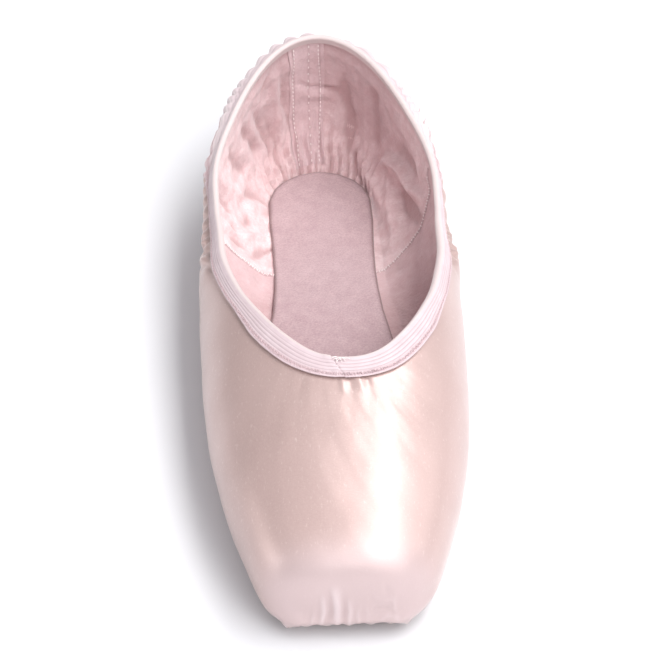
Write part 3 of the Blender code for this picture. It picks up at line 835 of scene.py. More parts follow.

# %% [markdown]
# ## Colours of the lining's parts
# The front of the lining is another cloth than its back, joined at a seam on each side, and
# the cloth is darker at the heel. Both are stored as marks from 0 to 1 that the material reads,
# and the height of the folds is stored in millimetres, for painted shade in their troughs.

# %% Mark the lining
# Where the lining's front part is joined to its back part: round for each distance down
SEAM_DOWN = (8, 12, 22, 27, 33, 38, 46)
SEAM_LEFT = (-183.6, -184.2, -185.4, -186.0, -186.2, -185.1, -183.5)
SEAM_RIGHT = (202.0, 201.0, 196.0, 192.4, 189.8, 187.4, 183.6)
left_seam = -np.interp(inner.down * 1000, SEAM_DOWN, SEAM_LEFT)
right_seam = np.interp(inner.down * 1000, SEAM_DOWN, SEAM_RIGHT)
seam_round = np.where(inner.round < 0, left_seam, right_seam)
heel_share = ramp(inner.points[..., 1], 0.190, 0.226) * (1 - 0.6 * ramp(inner.down, 0.022, 0.045))
before_seam = ramp(seam_round - np.abs(inner.round) * 1000, -0.5, 0.7)


def inside_mark(values):
    """A mark that is 0 on the hidden side of the lining."""
    return np.concatenate([np.zeros(backing.points.shape[1::-1]), values[:, ::-1].T])


lining_marks = {
    "heel": inside_mark(heel_share),
    "front": inside_mark(before_seam),
    # fold heights, which the material turns into painted shade in the troughs
    "fold": inside_mark(lining_height) * 1000,
}
lining = ring_piece("lining", lining_rings, ["upper"], lining_marks)
print("lining faces:", len(lining.data.polygons))

# %% [markdown]
# ## Tape and seams inside
# A tape covers the back seam and is sewn down along both edges. Where the lining's front part
# meets its back part, the joint is a raised line with small stitches across it.

# %% Tape over the back seam
def on_lining(rounds, downs, lift):
    return surface_at(inner, lining_points, -inner.normal, rounds, downs, lift)


TAPE_CENTRE, TAPE_HALF, TAPE_TOP, TAPE_END = -270.2, 6.6, 2.6, 51.5
TAPE_GRID = (45, 70)
SEWN_AT = (-0.76, -0.15, 0.76)
places_across = np.linspace(-1, 1, TAPE_GRID[0])
places_down = np.linspace(TAPE_TOP, TAPE_END, TAPE_GRID[1])
tape_across, tape_down = np.meshgrid(places_across, places_down, indexing="ij")
tape_edge = TAPE_CENTRE + tape_across * (TAPE_HALF + 0.25 * np.sin(tape_down / 6 + tape_across))
tape_lift = 0.36 + 0.10 * np.cos(tape_down / 2.3 + 2 * tape_across)
tape_lift = tape_lift - 0.14 * bell(np.abs(tape_across), 0.76, 0.06)
# darker along the three sewn rows: needle marks and painted shade in the grooves the stitches pull
needle_marks_and_shade = 0.6 - 1.0 * sum(bell(tape_across, at, 0.07) for at in SEWN_AT)
tape_low = on_lining(tape_edge, tape_down, 0.06).reshape(*TAPE_GRID, 3)
tape_high = on_lining(tape_edge, tape_down, tape_lift).reshape(*TAPE_GRID, 3)
tape_marks = {"fold": np.tile(needle_marks_and_shade, (2, 1))}
back_tape = slab("back_tape", tape_low, tape_high, ["upper"], tape_marks)
print("tape over the back seam, width in mm:", 2 * TAPE_HALF)

# %% [markdown]
# ## Stitches and side seams inside
# Each stitch is a short arched thread, laid on the cloth it holds. The tape has two dense rows
# and a sparse one. The side seams have small slanted stitches, over a raised strip.

# %% Sew the inside
# Rows on the tape: place round in mm, how much it wanders, and the pitch of its stitches
TAPE_STITCHES = ((-265.2, 0.35, 1.65), (-275.2, 0.45, 1.65), (-271.2, 0.15, 3.1))
ARCH = np.array([0.30, 0.62, 0.30])
stitches = []
for row, wander, pitch in TAPE_STITCHES:
    for start in np.arange(3.4, 50.5, pitch):
        drop = start + np.array([0, 0.5, 1.02])
        stitches.append(on_lining(row + wander * np.sin(drop / 7.3 + row), drop, ARCH))
for seam in (SEAM_LEFT, SEAM_RIGHT):
    for number, drop in enumerate(np.arange(9.5, 45.0, 0.95)):
        lean = 0.45 * (-1) ** number
        there = np.interp(drop, SEAM_DOWN, seam) + np.array([-lean, 0, lean])
        stitches.append(on_lining(there, drop + np.array([-0.3, 0, 0.3]), np.array([0.1, 0.55, 0.1])))
lining_stitches = threads("lining_stitches", stitches, 0.00019, ["upper"])

seam_strips = []
for name, seam in (("seam_left", SEAM_LEFT), ("seam_right", SEAM_RIGHT)):
    span, drop = np.meshgrid(np.linspace(-1, 1, 7), np.linspace(6.5, 46.0, 60), indexing="ij")
    there = np.interp(drop, SEAM_DOWN, seam) + 0.62 * span
    low = on_lining(there, drop, 0.02).reshape(*span.shape, 3)
    high = on_lining(there, drop, 0.06 + 0.34 * (1 - span**2)).reshape(*span.shape, 3)
    seam_strips.append(slab(name, low, high, ["upper"]))
print("stitches inside:", len(stitches))

# %% [markdown]
# ## Elastic binding
# A ribbed elastic tape is folded over the top edge and sewn down with a zigzag stitch. It is
# woven with fine cords lengthwise, so its outside shows ribs, and its fold is smooth.

# %% Where the binding lies
TAPE, TAPE_GAP = 0.0005, 0.0002
OUT_ROWS, IN_ROWS = 28, 8


def collar_frame(columns, climb):
    """Outside rows below the top edge, inside rows, and the way up at each column."""
    t = collar_edge(columns, climb, 0)[:, 1:2]
    narrow = ramp(t, 0.086, 0.105) * (1 - ramp(t, 0.155, 0.178))
    width = BINDING_WIDTH * (1 + 0.14 * (1 - ramp(t, 0.070, 0.086)) - 0.28 * narrow)
    out = cloth_grid(columns, climb, 0, 1, 1, OUT_ROWS, width)
    into = skived(cloth_grid(columns, climb, 1.0, 1, 1, IN_ROWS, BINDING_INSIDE), 1.0)
    outside = (out.points + out.normal * puffs(out)[..., None])[:, -OUT_ROWS:]
    away = out.normal[:, -OUT_ROWS:]
    inside, toward = into.points[:, -IN_ROWS:], -into.normal[:, -IN_ROWS:]
    edge_way = np.roll(outside[:, -1], -1, 0) - np.roll(outside[:, -1], 1, 0)
    up = unit(np.cross(edge_way, inside[:, -1] - outside[:, -1]))
    return outside, away, inside, toward, up


outside, away, inside, toward, up = collar_frame(columns, top_climb)
widths = np.linalg.norm(outside[:, -1] - outside[:, 0], axis=-1) * 1000
print("binding's width outside in mm:", round(float(widths.min()), 1), "to", round(float(widths.max()), 1))

# %% [markdown]
# ## The binding's outside
# Ribs, a raised edge and the overlap at the throat are small heights on the tape. Where the two
# ends meet, one lies over the other along a slanted cut, just off the middle of the throat.

# %% The binding's outside
RIBS, RIB_HEIGHT, EDGE_HEIGHT = 6, 0.00016, 0.0002
SLIT_DEPTH, FLAP_HEIGHT, PUCKER_HEIGHT = 0.00038, 0.00026, 0.00012
tape_share = np.linspace(1, 0, OUT_ROWS)
down_tape = tape_share[None, :, None]
ribs = RIB_HEIGHT * (0.5 - 0.5 * np.cos(2 * np.pi * RIBS * down_tape)) * (down_tape > 0.16)
edge_bead = EDGE_HEIGHT * bell(down_tape, 0.985, 0.02)
join = -2.4 + 4.2 * down_tape
beside = outside[..., :1] * 1000 - join
at_throat = outside[..., 1:2] < 0.100
slit = -SLIT_DEPTH * bell(beside, 0, 0.24) * at_throat
flap = FLAP_HEIGHT * ramp(beside, -3.4, -1.2) * (beside < 0.05) * at_throat
number = np.arange(len(outside))
pucker_wave = np.sin(number * 2.1 + 3 * np.sin(number * 0.37))[:, None, None]
puckers = PUCKER_HEIGHT * pucker_wave * bell(down_tape, 0.84, 0.1)
skin = outside + away * (TAPE_GAP + TAPE + ribs + edge_bead + slit + flap + puckers)
print("ribs along the tape:", RIBS)

# %% [markdown]
# ## Fold the tape over the edge
# The fold is a half circle from the outside to the inside, a little flattened because the
# tape is pulled tight. Then the skin runs down inside and comes back against the shoe.

# %% Fold the binding
FOLD_HEIGHT = 0.75
fold_start, fold_end = skin[:, -1], inside[:, -1] + toward[:, -1] * (TAPE_GAP + TAPE)
turn = np.linspace(0, np.pi, 11)[1:-1]
centre, arm = (fold_start + fold_end) / 2, (fold_start - fold_end) / 2
fold = centre[:, None] + arm[:, None] * np.cos(turn)[None, :, None]
fold_rise = (up * np.linalg.norm(arm, axis=-1, keepdims=True))[:, None]
fold = fold + fold_rise * (FOLD_HEIGHT * np.sin(turn))[None, :, None]
inner_skin = (inside + toward * (TAPE_GAP + TAPE))[:, ::-1]
inner_back = inside + toward * TAPE_GAP
outer_back = (outside + away * TAPE_GAP)[:, ::-4]
hidden = np.concatenate([inner_back[:, ::3], outer_back[:, ::2], outer_back[:, -1:]], 1)
binding_rings = np.concatenate([skin, fold, inner_skin, hidden], 1).transpose(1, 0, 2)
on_fold = np.full(len(fold[0]), -0.1)
beyond = np.full(len(binding_rings) - OUT_ROWS - len(on_fold), -0.5)
ring_share = np.concatenate([tape_share, on_fold, beyond])
# painted highlight: the lower part of the tape at the heel is marked to be painted paler
at_back = ramp(skin[:, 0, 1], 0.165, 0.205)[None, :]
gathered = np.where(ring_share[:, None] > 0, at_back, 0.0)
binding_marks = {
    "gathered": gathered * np.interp(ring_share, (0.25, 0.7), (0.0, 1.0))[:, None],
    "across": np.repeat(ring_share[:, None], len(columns.pivot), 1),
}
binding_tape = ring_piece("binding_tape", binding_rings, ["binding"], binding_marks, 80)
print("binding faces:", len(binding_tape.data.polygons))

# %% [markdown]
# ## Sew the binding
# A zigzag stitch lets the elastic stretch, so it is used all round near the tape's lower edge.
# It is one long thread that dips through the tape at each corner.

# %% Sew the binding
THREAD_ROW = 4
tape_steps = np.linalg.norm(np.diff(skin[:, THREAD_ROW], axis=0, append=skin[:1, THREAD_ROW]), axis=-1)
tape_measure = np.concatenate([[0], np.cumsum(tape_steps * 1000)])


def on_binding(run, across, lift):
    """Points on the tape, run mm along it. Across is 0 at the fold and 1 at the edge."""
    column = np.interp(np.mod(run, tape_measure[-1]), tape_measure, np.arange(len(tape_measure)))
    low, share = column.astype(int) % len(skin), (column % 1)[:, None]
    high = (low + 1) % len(skin)
    row = (1 - across) * (OUT_ROWS - 1)
    under = np.clip(row.astype(int), 0, OUT_ROWS - 2)
    rest = (row - under)[:, None]
    lifted = skin + away * lift / 1000
    near = mix(lifted[low, under], lifted[low, under + 1], rest)
    far = mix(lifted[high, under], lifted[high, under + 1], rest)
    return mix(near, far, share)


ZIGZAG_PITCH = 0.75
tape_length = tape_steps.sum() * 1000
corner = np.arange(int(tape_length / ZIGZAG_PITCH))
zigzag_run = corner * ZIGZAG_PITCH + 0.12 * np.sin(corner * 1.9)
zigzag_across = np.where(corner % 2 == 0, 0.76, 0.92) + 0.012 * np.sin(corner * 2.7)


def with_middles(values):
    """Each corner's value, followed by the value halfway to the next corner."""
    return np.stack([values[:-1], (values[:-1] + values[1:]) / 2], -1).ravel()


heights = np.tile([-0.02, 0.13], len(corner) - 1)
zigzag = []
for run, across, lift in zip(with_middles(zigzag_run), with_middles(zigzag_across), heights):
    zigzag.append(on_binding(np.array([run]), np.array([across]), lift)[0])
binding_stitches = threads("binding_stitches", [np.array(zigzag)], 0.00012, ["binding"])
print("zigzag corners:", len(corner), "on a tape of", round(tape_length), "mm")

# %% [markdown]
# ## Frayed ends at the join
# The cut end of the elastic frays where its two ends overlap. Nine short threads that bend
# this way and that are enough to show it.

# %% Fray the join
# Place across the throat, lift, reach and bend, in mm
LOOSE_ENDS = (
    (-2.6, 0.5, 2.2, 0.8),
    (-2.0, 0.8, 1.6, -0.9),
    (-1.4, 0.5, 2.6, 0.3),
    (-0.8, 0.9, 1.8, -1.2),
    (-0.2, 0.6, 2.9, 1.1),
    (0.5, 0.9, 1.5, -0.6),
    (1.1, 0.5, 2.4, 0.7),
    (1.6, 0.8, -1.9, 0.9),
    (0.8, 0.7, -1.5, -1.0),
)
SEARCH_ROW, FRAY_ROW = 20, 24
loose = []
for x, rise, reach, curl in LOOSE_ENDS:
    behind_throat = outside[:, SEARCH_ROW, 1] > 0.1
    start = np.argmin(np.abs(outside[:, SEARCH_ROW, 0] * 1000 - x) + 1000 * behind_throat)
    share = np.linspace(0, 1, 7)
    root_point = skin[start, FRAY_ROW] + away[start, FRAY_ROW] * 0.0001
    aside = reach * share + 0.2 * np.sin(share * 5)
    onward = -0.4 * share + curl * share**2
    loose.append(root_point + np.stack([aside, onward, rise * np.sin(share * 3)], -1) / 1000)
loose_threads = threads("loose_threads", loose, 0.00011, ["binding"])
print("loose threads:", len(loose))

# %% [markdown]
# ## Insole
# The insole is a thin board covered in brushed suede cloth. It lies on the turned-in edges
# of the upper, and its own edge is rounded over.

# %% Rings and lids
def plan_ring(columns, width_at, height_at):
    x, t = place(columns, outline(columns, width_at))
    return np.stack([x, t, height_at(t)], -1)


def capped_piece(name, rings, nodes, marks=None, sharp=60):
    """Rings that narrow to a lid at both ends, closed by strips from side to side."""
    count, around = rings.shape[:2]
    faces = ring_faces(count, around, False)
    half = around // 2
    for base, flipped in ((0, True), ((count - 1) * around, False)):
        lid = [(0, 1, around - 1)] + [(i, i + 1, around - i - 1, around - i) for i in range(1, half - 1)]
        lid.append((half - 1, half, half + 1))
        faces += [tuple(base + i for i in (face[::-1] if flipped else face)) for face in lid]
    return add_piece(name, to_world(rings.reshape(-1, 3)), faces, nodes, marks, sharp)


sock_columns = make_columns(400, 0)
print("points in each ring:", len(sock_columns.pivot))

# %% [markdown]
# ## The insole's outline
# The board fills the floor of the box and narrows behind the ball to a waist, then ends in a
# blunt round heel. Its top edge is rounded where the covering is turned down over it.

# %% Shape the insole
# How far the covered board reaches to each side, at distances back from the toe, in mm
BOARD_BACK = (0, 74, 92, 106, 120, 138, 150, 160, 175, 190, 202, 208, 212, 215.5, 217.5)
BOARD_HALF = (99, 38.0, 30.0, 25.2, 21.5, 18.3, 17.4, 17.1, 17.3, 17.9, 17.6, 15.6, 12.6, 7.5, 0.0)


def board(inset):
    def half(t):
        drawn = np.interp(t * 1000 + inset * 1000 * (t > 0.19), BOARD_BACK, BOARD_HALF) / 1000
        room = floor_half_width(t, wall(t) + INSOLE_CLEARANCE)
        return (np.minimum(drawn, room) - inset) * (t > 2 * PLATFORM_RIM + inset)
    return half


def board_top(lift):
    return lambda t: seat(t) + wall(t) + GAP + lift


SOCK_ROUND, SOCK_THICK, SOCK_DOME = 0.0009, 0.0018, 0.0003
SOCK_STEPS = (0.0017, 0.004, 0.008, 0.012, 0.0155)
hole = MARGIN + INSOLE_CLEARANCE
sock_rings = [
    plan_ring(sock_columns, lambda t: sole_half_width(t, hole), seat),
    plan_ring(sock_columns, lambda t: sole_half_width(t, hole), board_top(0)),
    plan_ring(sock_columns, board(0.0004), board_top(0)),
]
for turn in np.linspace(0, np.pi / 2, 5):
    inset, rise = SOCK_ROUND * (1 - math.cos(turn)), SOCK_ROUND + SOCK_ROUND * math.sin(turn)
    sock_rings.append(plan_ring(sock_columns, board(inset), board_top(rise)))
for step in SOCK_STEPS:
    rise = SOCK_THICK + SOCK_DOME * step / SOCK_STEPS[-1]
    sock_rings.append(plan_ring(sock_columns, board(step), board_top(rise)))
# painted shadow: the rings of the rounded edge are darkened, like the dark gap beside the lining
painted_gap_shadow = np.interp(np.arange(len(sock_rings)), (4, 6, 7, 8), (1.0, 0.9, 0.3, 0.0))
sock_marks = {"edge": np.repeat(painted_gap_shadow[:, None], len(sock_rings[0]), 1)}
insole_sock = capped_piece("insole_sock", np.array(sock_rings), ["insole"], sock_marks)
print("insole faces:", len(insole_sock.data.polygons))

# %% [markdown]
# ## Leather sole
# The outsole is one piece of leather, skived thin at its edge and roughened so that it grips.
# It lies over the pleats and the turned-in edge of the satin.

# %% Shape the sole
# Inset and height of each ring in metres, from under the sole up round its skived edge
SOLE_RINGS = (
    (0.009, 0.0),
    (0.004, 0.0),
    (0.0011, 0.0),
    (0.0006, 0.0001),
    (0.0002, 0.0004),
    (0.0, 0.0009),
    (0.0, 0.0016),
    (0.0001, 0.0020),
    (0.0004, 0.0022),
)


def sole_ring(inset, rise):
    return plan_ring(sock_columns, lambda t: sole_half_width(t, inset), lambda t: tread(t) + rise)


sole_rings = [sole_ring(inset, rise) for inset, rise in SOLE_RINGS]
leather_sole = capped_piece("leather_sole", np.array(sole_rings), ["outsole"], sharp=50)
print("sole faces:", len(leather_sole.data.polygons))

# %% [markdown]
# ## Short ways to write nodes
# A material is a tree of nodes joined by links. A few helpers keep each step of a tree on one
# line, so that the tree reads like a recipe.

# %% Node helpers
def new_group(name, inputs, outputs):
    group = bpy.data.node_groups.new(name, "ShaderNodeTree")
    for label, value in inputs:
        socket = group.interface.new_socket(name=label, in_out="INPUT", socket_type="NodeSocketFloat")
        socket.default_value = value
    for label in outputs:
        group.interface.new_socket(name=label, in_out="OUTPUT", socket_type="NodeSocketFloat")
    return group, Nodes(group)


class Nodes:
    """Short ways to add and join nodes in a tree."""

    def __init__(self, tree):
        self.tree = tree

    def add(self, kind, settings=None, **inputs):
        node = self.tree.nodes.new("ShaderNode" + kind)
        for key, value in (settings or {}).items():
            setattr(node, key, value)
        for key, value in inputs.items():
            self.put(node.inputs[key.replace("_", " ")], value)
        return node

    def put(self, socket, value):
        if isinstance(value, bpy.types.NodeSocket):
            self.tree.links.new(value, socket)
        elif isinstance(value, bpy.types.Node):
            self.tree.links.new(value.outputs[0], socket)
        else:
            socket.default_value = value

    def math(self, operation, *values):
        node = self.tree.nodes.new("ShaderNodeMath")
        node.operation = operation
        for socket, value in zip(node.inputs, values):
            self.put(socket, value)
        return node.outputs[0]

    def stretch(self, vector, scale):
        node = self.tree.nodes.new("ShaderNodeMapping")
        self.put(node.inputs["Vector"], vector)
        node.inputs["Scale"].default_value = scale
        return node.outputs[0]

    def range(self, value, low, high, to_low=0.0, to_high=1.0):
        node = self.tree.nodes.new("ShaderNodeMapRange")
        labels = ("Value", "From Min", "From Max", "To Min", "To Max")
        for label, number in zip(labels, (value, low, high, to_low, to_high)):
            self.put(node.inputs[label], number)
        return node.outputs[0]

    def blend(self, share, a, b):
        """Mixes two colours."""
        node = self.tree.nodes.new("ShaderNodeMix")
        node.data_type = "RGBA"
        self.put(node.inputs["Factor"], share)
        for socket, value in ((node.inputs[6], a), (node.inputs[7], b)):
            self.put(socket, (*value, 1) if isinstance(value, tuple) and len(value) == 3 else value)
        return node.outputs[2]

    def mark(self, name):
        """A measure that was stored on the mesh."""
        return self.add("Attribute", {"attribute_name": name}).outputs["Fac"]


def noise(nodes, vector, scale, detail=2.0, rough=0.5):
    return nodes.add("TexNoise", Vector=vector, Scale=scale, Detail=detail, Roughness=rough).outputs[0]


print("helpers for nodes:", [name for name in vars(Nodes) if not name.startswith("_")])

# %% [markdown]
# ## Cloth effects as node groups
# Several cloths here share a weave or a brushed nap, so each effect is a small group of nodes
# with named sockets. The groups give only masks and heights. The shaders decide what colour
# and gloss to make of them.

# %% Make the weave and the nap
def make_satin_weave():
    """Fine floats of a satin weave, with slubs: long threads across, short breaks along."""
    inputs = [("Thread Scale", 1.0), ("Slubs", 0.5)]
    group, n = new_group("satin_weave", inputs, ["Weave", "Speckle", "Flecks"])
    into, out = n.tree.nodes.new("NodeGroupInput"), n.tree.nodes.new("NodeGroupOutput")
    where = n.add("TexCoord").outputs["Object"]
    scaled = n.add("VectorMath", {"operation": "SCALE"})
    n.put(scaled.inputs[0], where)
    n.put(scaled.inputs["Scale"], into.outputs["Thread Scale"])
    floats = noise(n, n.stretch(scaled.outputs[0], (900, 2600, 2600)), 1.0, 2.0, 0.6)
    grain = noise(n, n.stretch(scaled.outputs[0], (2200, 1400, 1400)), 1.0, 3.0, 0.7)
    slub = noise(n, n.stretch(scaled.outputs[0], (60, 420, 420)), 1.0, 2.0, 0.5)
    fleck = noise(n, n.stretch(scaled.outputs[0], (1700, 600, 600)), 1.0, 3.0, 0.6)
    n.put(out.inputs["Weave"], n.math("ADD", floats, n.math("MULTIPLY", slub, into.outputs["Slubs"])))
    n.put(out.inputs["Flecks"], n.range(fleck, 0.60, 0.72))
    n.put(out.inputs["Speckle"], n.range(grain, 0.3, 0.7))
    return group


def make_nap():
    """Brushed nap: short fibres that lie this way and that, and soft cloudy patches."""
    inputs = [("Fibre Scale", 1.0), ("Cloud Scale", 1.0)]
    group, n = new_group("brushed_nap", inputs, ["Fibres", "Clouds", "Specks"])
    into, out = n.tree.nodes.new("NodeGroupInput"), n.tree.nodes.new("NodeGroupOutput")
    where = n.add("TexCoord").outputs["Object"]
    fibres = noise(n, where, n.math("MULTIPLY", into.outputs["Fibre Scale"], 1500.0), 4.0, 0.7)
    clouds = noise(n, where, n.math("MULTIPLY", into.outputs["Cloud Scale"], 110.0), 3.0, 0.6)
    specks = noise(n, where, n.math("MULTIPLY", into.outputs["Fibre Scale"], 900.0), 3.0, 0.7)
    n.put(out.inputs["Fibres"], fibres)
    n.put(out.inputs["Clouds"], n.range(clouds, 0.3, 0.7))
    n.put(out.inputs["Specks"], n.range(specks, 0.35, 0.7))
    return group


weave_group, nap_group = make_satin_weave(), make_nap()
print("effect groups:", [group.name for group in bpy.data.node_groups])

# %% [markdown]
# ## The satin
# Satin is glossy with a long soft highlight, because its threads float over one another. A
# little metallic share gives that silky depth. The platform is painted paler where it faces the
# front, a painted highlight, and its raised and sunk folds get painted highlight and painted shade.

# %% Dye the satin
def new_material(name, **settings):
    material = bpy.data.materials.new(name)
    material.use_nodes = True
    nodes = Nodes(material.node_tree)
    shader = material.node_tree.nodes["Principled BSDF"]
    for key, value in settings.items():
        shader.inputs[key.replace("_", " ")].default_value = value
    return material, nodes, shader


def use_group(nodes, group, **values):
    node = nodes.tree.nodes.new("ShaderNodeGroup")
    node.node_tree = group
    for key, value in values.items():
        nodes.put(node.inputs[key.replace("_", " ")], value)
    return node


def bump(nodes, shader, height, strength, distance):
    node = nodes.add("Bump", Strength=strength, Distance=distance)
    nodes.put(node.inputs["Height"], height)
    nodes.put(shader.inputs["Normal"], node.outputs[0])
    return node


def satin_material():
    material, n, shader = new_material(
        "pink_satin", Metallic=0.30, Sheen_Weight=0.3, Sheen_Roughness=0.35, Coat_Roughness=0.3)
    cloth = use_group(n, weave_group, Thread_Scale=1.0, Slubs=0.4)
    wide = noise(n, n.add("TexCoord").outputs["Object"], 26.0, 2.0, 0.5)
    tone = n.blend(n.range(wide, 0.35, 0.65), (0.450, 0.318, 0.294), (0.500, 0.358, 0.332))
    tone = n.blend(n.math("MULTIPLY", cloth.outputs["Speckle"], 0.35), tone, (0.58, 0.44, 0.415))
    tone = n.blend(n.math("MULTIPLY", cloth.outputs["Flecks"], 0.25), tone, (0.80, 0.70, 0.67))
    # painted highlight: the satin is painted paler where it faces the front
    tone = n.blend(n.math("MULTIPLY", n.mark("front"), 0.75), tone, (0.61, 0.485, 0.485))
    # painted highlight on the platform's raised folds and painted shade in its sunk folds
    raised = n.math("MULTIPLY", n.range(n.mark("fold"), 0.08, 0.5), n.range(n.mark("front"), 0.4, 0.8))
    sunk_fold_shade = n.math("MULTIPLY", n.range(n.mark("fold"), -0.08, -0.5), n.range(n.mark("front"), 0.4, 0.8))
    tone = n.blend(n.math("MULTIPLY", raised, 0.3), tone, (0.86, 0.77, 0.78))
    tone = n.blend(n.math("MULTIPLY", sunk_fold_shade, 0.45), tone, (0.42, 0.30, 0.30))
    n.put(shader.inputs["Base Color"], tone)
    n.put(shader.inputs["Roughness"], n.range(cloth.outputs["Weave"], 0.3, 1.0, 0.33, 0.42))
    n.put(shader.inputs["Coat Weight"], n.range(wide, 0.3, 0.7, 0.14, 0.2))
    bump(n, shader, cloth.outputs["Weave"], 0.25, 0.00012)
    return material


satin_cover.data.materials.append(satin_material())
print("satin dyed:", satin_cover.data.materials[0].name)

# %% [markdown]
# ## Cotton, suede and thread
# Brushed cloth scatters light in its nap, so it is rough, with a soft sheen and no gloss. One
# recipe serves the lining, the insole, the tape and the threads, each with its own colours.

# %% Dye the napped cloths
def nap_material(name, light, dark, deep, fibre=1.0, cloud=1.0, crumple=0.0, shade=None, **tints):
    """Tints are colours for the marks heel, front and edge, and the edge tint is painted shadow. Shade is
    painted shade where the fold mark is low.
    """
    material, n, shader = new_material(name, Sheen_Weight=0.35, Sheen_Roughness=0.55)
    nap = use_group(n, nap_group, Fibre_Scale=fibre, Cloud_Scale=cloud)
    tone = n.blend(nap.outputs["Clouds"], dark, light)
    tone = n.blend(n.math("MULTIPLY", nap.outputs["Specks"], 0.45), tone, deep)
    for mark, share in (("heel", 0.55), ("front", 0.6), ("edge", 0.85)):
        if mark in tints:
            tone = n.blend(n.math("MULTIPLY", n.mark(mark), share), tone, tints[mark])
    # painted shade: the cloth is darkened where the fold mark is low, in troughs and grooves
    if shade:
        tone = n.blend(n.range(n.mark("fold"), 0.5, -0.5, 0.0, 0.75), tone, shade)
    n.put(shader.inputs["Base Color"], tone)
    n.put(shader.inputs["Roughness"], n.range(nap.outputs["Fibres"], 0.3, 0.7, 0.85, 0.97))
    fuzz = n.math("ADD", nap.outputs["Fibres"], n.math("MULTIPLY", nap.outputs["Specks"], 0.8))
    fibres = bump(n, shader, fuzz, 0.45, 0.0004)
    if crumple:
        folds = n.add("Bump", Strength=crumple, Distance=0.0016)
        n.put(folds.inputs["Height"], noise(n, n.add("TexCoord").outputs["Object"], 170.0, 3.0, 0.55))
        n.put(fibres.inputs["Normal"], folds.outputs[0])
    return material


# shade is painted shade in the troughs of the lining's wrinkles
lining_cotton = nap_material(
    "lining_cotton", (0.90, 0.73, 0.73), (0.72, 0.50, 0.505), (0.60, 0.385, 0.385), fibre=1.5, cloud=2.3,
    crumple=0.7, shade=(0.44, 0.26, 0.26), front=(0.56, 0.37, 0.38), heel=(0.46, 0.29, 0.30))
# edge is painted shadow on the insole's rounded edge
insole_suede = nap_material(
    "insole_suede", (0.56, 0.405, 0.42), (0.48, 0.335, 0.35), (0.25, 0.15, 0.16), fibre=1.7, cloud=1.8,
    edge=(0.20, 0.11, 0.11))
# shade is needle marks and painted shade along the tape's sewn rows
tape_cotton = nap_material(
    "tape_cotton", (0.70, 0.53, 0.54), (0.62, 0.44, 0.45), (0.50, 0.33, 0.34), fibre=1.4,
    shade=(0.50, 0.33, 0.34))
thread = nap_material("sewing_thread", (0.95, 0.88, 0.86), (0.92, 0.82, 0.80), (0.84, 0.72, 0.70), fibre=2.0)
pink_thread = nap_material(
    "pink_thread", (0.66, 0.50, 0.52), (0.60, 0.43, 0.45), (0.50, 0.34, 0.36), fibre=2.0)
DYED = (
    (lining_cotton, (lining,)),
    (insole_suede, (insole_sock,)),
    (tape_cotton, (back_tape, *seam_strips)),
    (thread, (lining_stitches, loose_threads)),
    (pink_thread, (binding_stitches,)),
)
for material, pieces in DYED:
    for piece in pieces:
        piece.data.materials.append(material)
print("napped cloths:", [material.name for material, pieces in DYED])

# %% [markdown]
# ## Elastic and leather
# The elastic is dull, with shiny threads on its ribs and painted shadow between them, a painted
# highlight low on the tape at the heel and a paler painted highlight on its fold. The sole is
# unfinished leather with an open grain.

# %% Dye the elastic and the leather
def elastic_material():
    material, n, shader = new_material("ribbed_elastic", Sheen_Weight=0.3, Sheen_Roughness=0.4)
    nap = use_group(n, nap_group, Fibre_Scale=1.2, Cloud_Scale=1.6)
    rib = n.math("COSINE", n.math("MULTIPLY", n.mark("across"), 2 * math.pi * RIBS))
    # painted shadow in the valleys between the ribs
    painted_rib_shadow = n.math("MULTIPLY", n.range(rib, 0.2, 1.0), n.range(n.mark("across"), 0.14, 0.18))
    tone = n.blend(nap.outputs["Clouds"], (0.55, 0.435, 0.455), (0.61, 0.50, 0.52))
    tone = n.blend(n.math("MULTIPLY", painted_rib_shadow, 0.6), tone, (0.36, 0.26, 0.275))
    sewn = n.math("MULTIPLY", n.range(n.mark("across"), 0.70, 0.76), n.range(n.mark("across"), 0.98, 0.92))
    tone = n.blend(n.math("MULTIPLY", sewn, 0.35), tone, (0.44, 0.29, 0.30))
    # painted highlight on the lower part of the tape at the heel
    tone = n.blend(n.math("MULTIPLY", n.mark("gathered"), 0.7), tone, (0.74, 0.66, 0.65))
    # painted highlight: the fold and the inside of the tape are painted paler
    tone = n.blend(n.range(n.mark("across"), 0.03, -0.02), tone, (0.60, 0.505, 0.495))
    n.put(shader.inputs["Base Color"], tone)
    n.put(shader.inputs["Roughness"], n.range(nap.outputs["Fibres"], 0.3, 0.7, 0.5, 0.7))
    bump(n, shader, nap.outputs["Fibres"], 0.3, 0.0002)
    return material


def leather_material():
    material, n, shader = new_material("sole_leather")
    nap = use_group(n, nap_group, Fibre_Scale=0.5, Cloud_Scale=0.5)
    tone = n.blend(nap.outputs["Clouds"], (0.50, 0.36, 0.26), (0.60, 0.46, 0.35))
    tone = n.blend(n.math("MULTIPLY", nap.outputs["Specks"], 0.5), tone, (0.40, 0.28, 0.20))
    n.put(shader.inputs["Base Color"], tone)
    n.put(shader.inputs["Roughness"], n.range(nap.outputs["Fibres"], 0.3, 0.7, 0.55, 0.8))
    bump(n, shader, n.math("ADD", nap.outputs["Fibres"], nap.outputs["Specks"]), 0.4, 0.0003)
    return material


binding_tape.data.materials.append(elastic_material())
leather_sole.data.materials.append(leather_material())
print("materials:", [material.name for material in bpy.data.materials])

# %% [markdown]
# ## Floor and tent
# Product photographs of satin are lit in a white tent over a sheet of pale paper. The tent is
# brighter on the right, above and in front, so its strength changes with the direction.

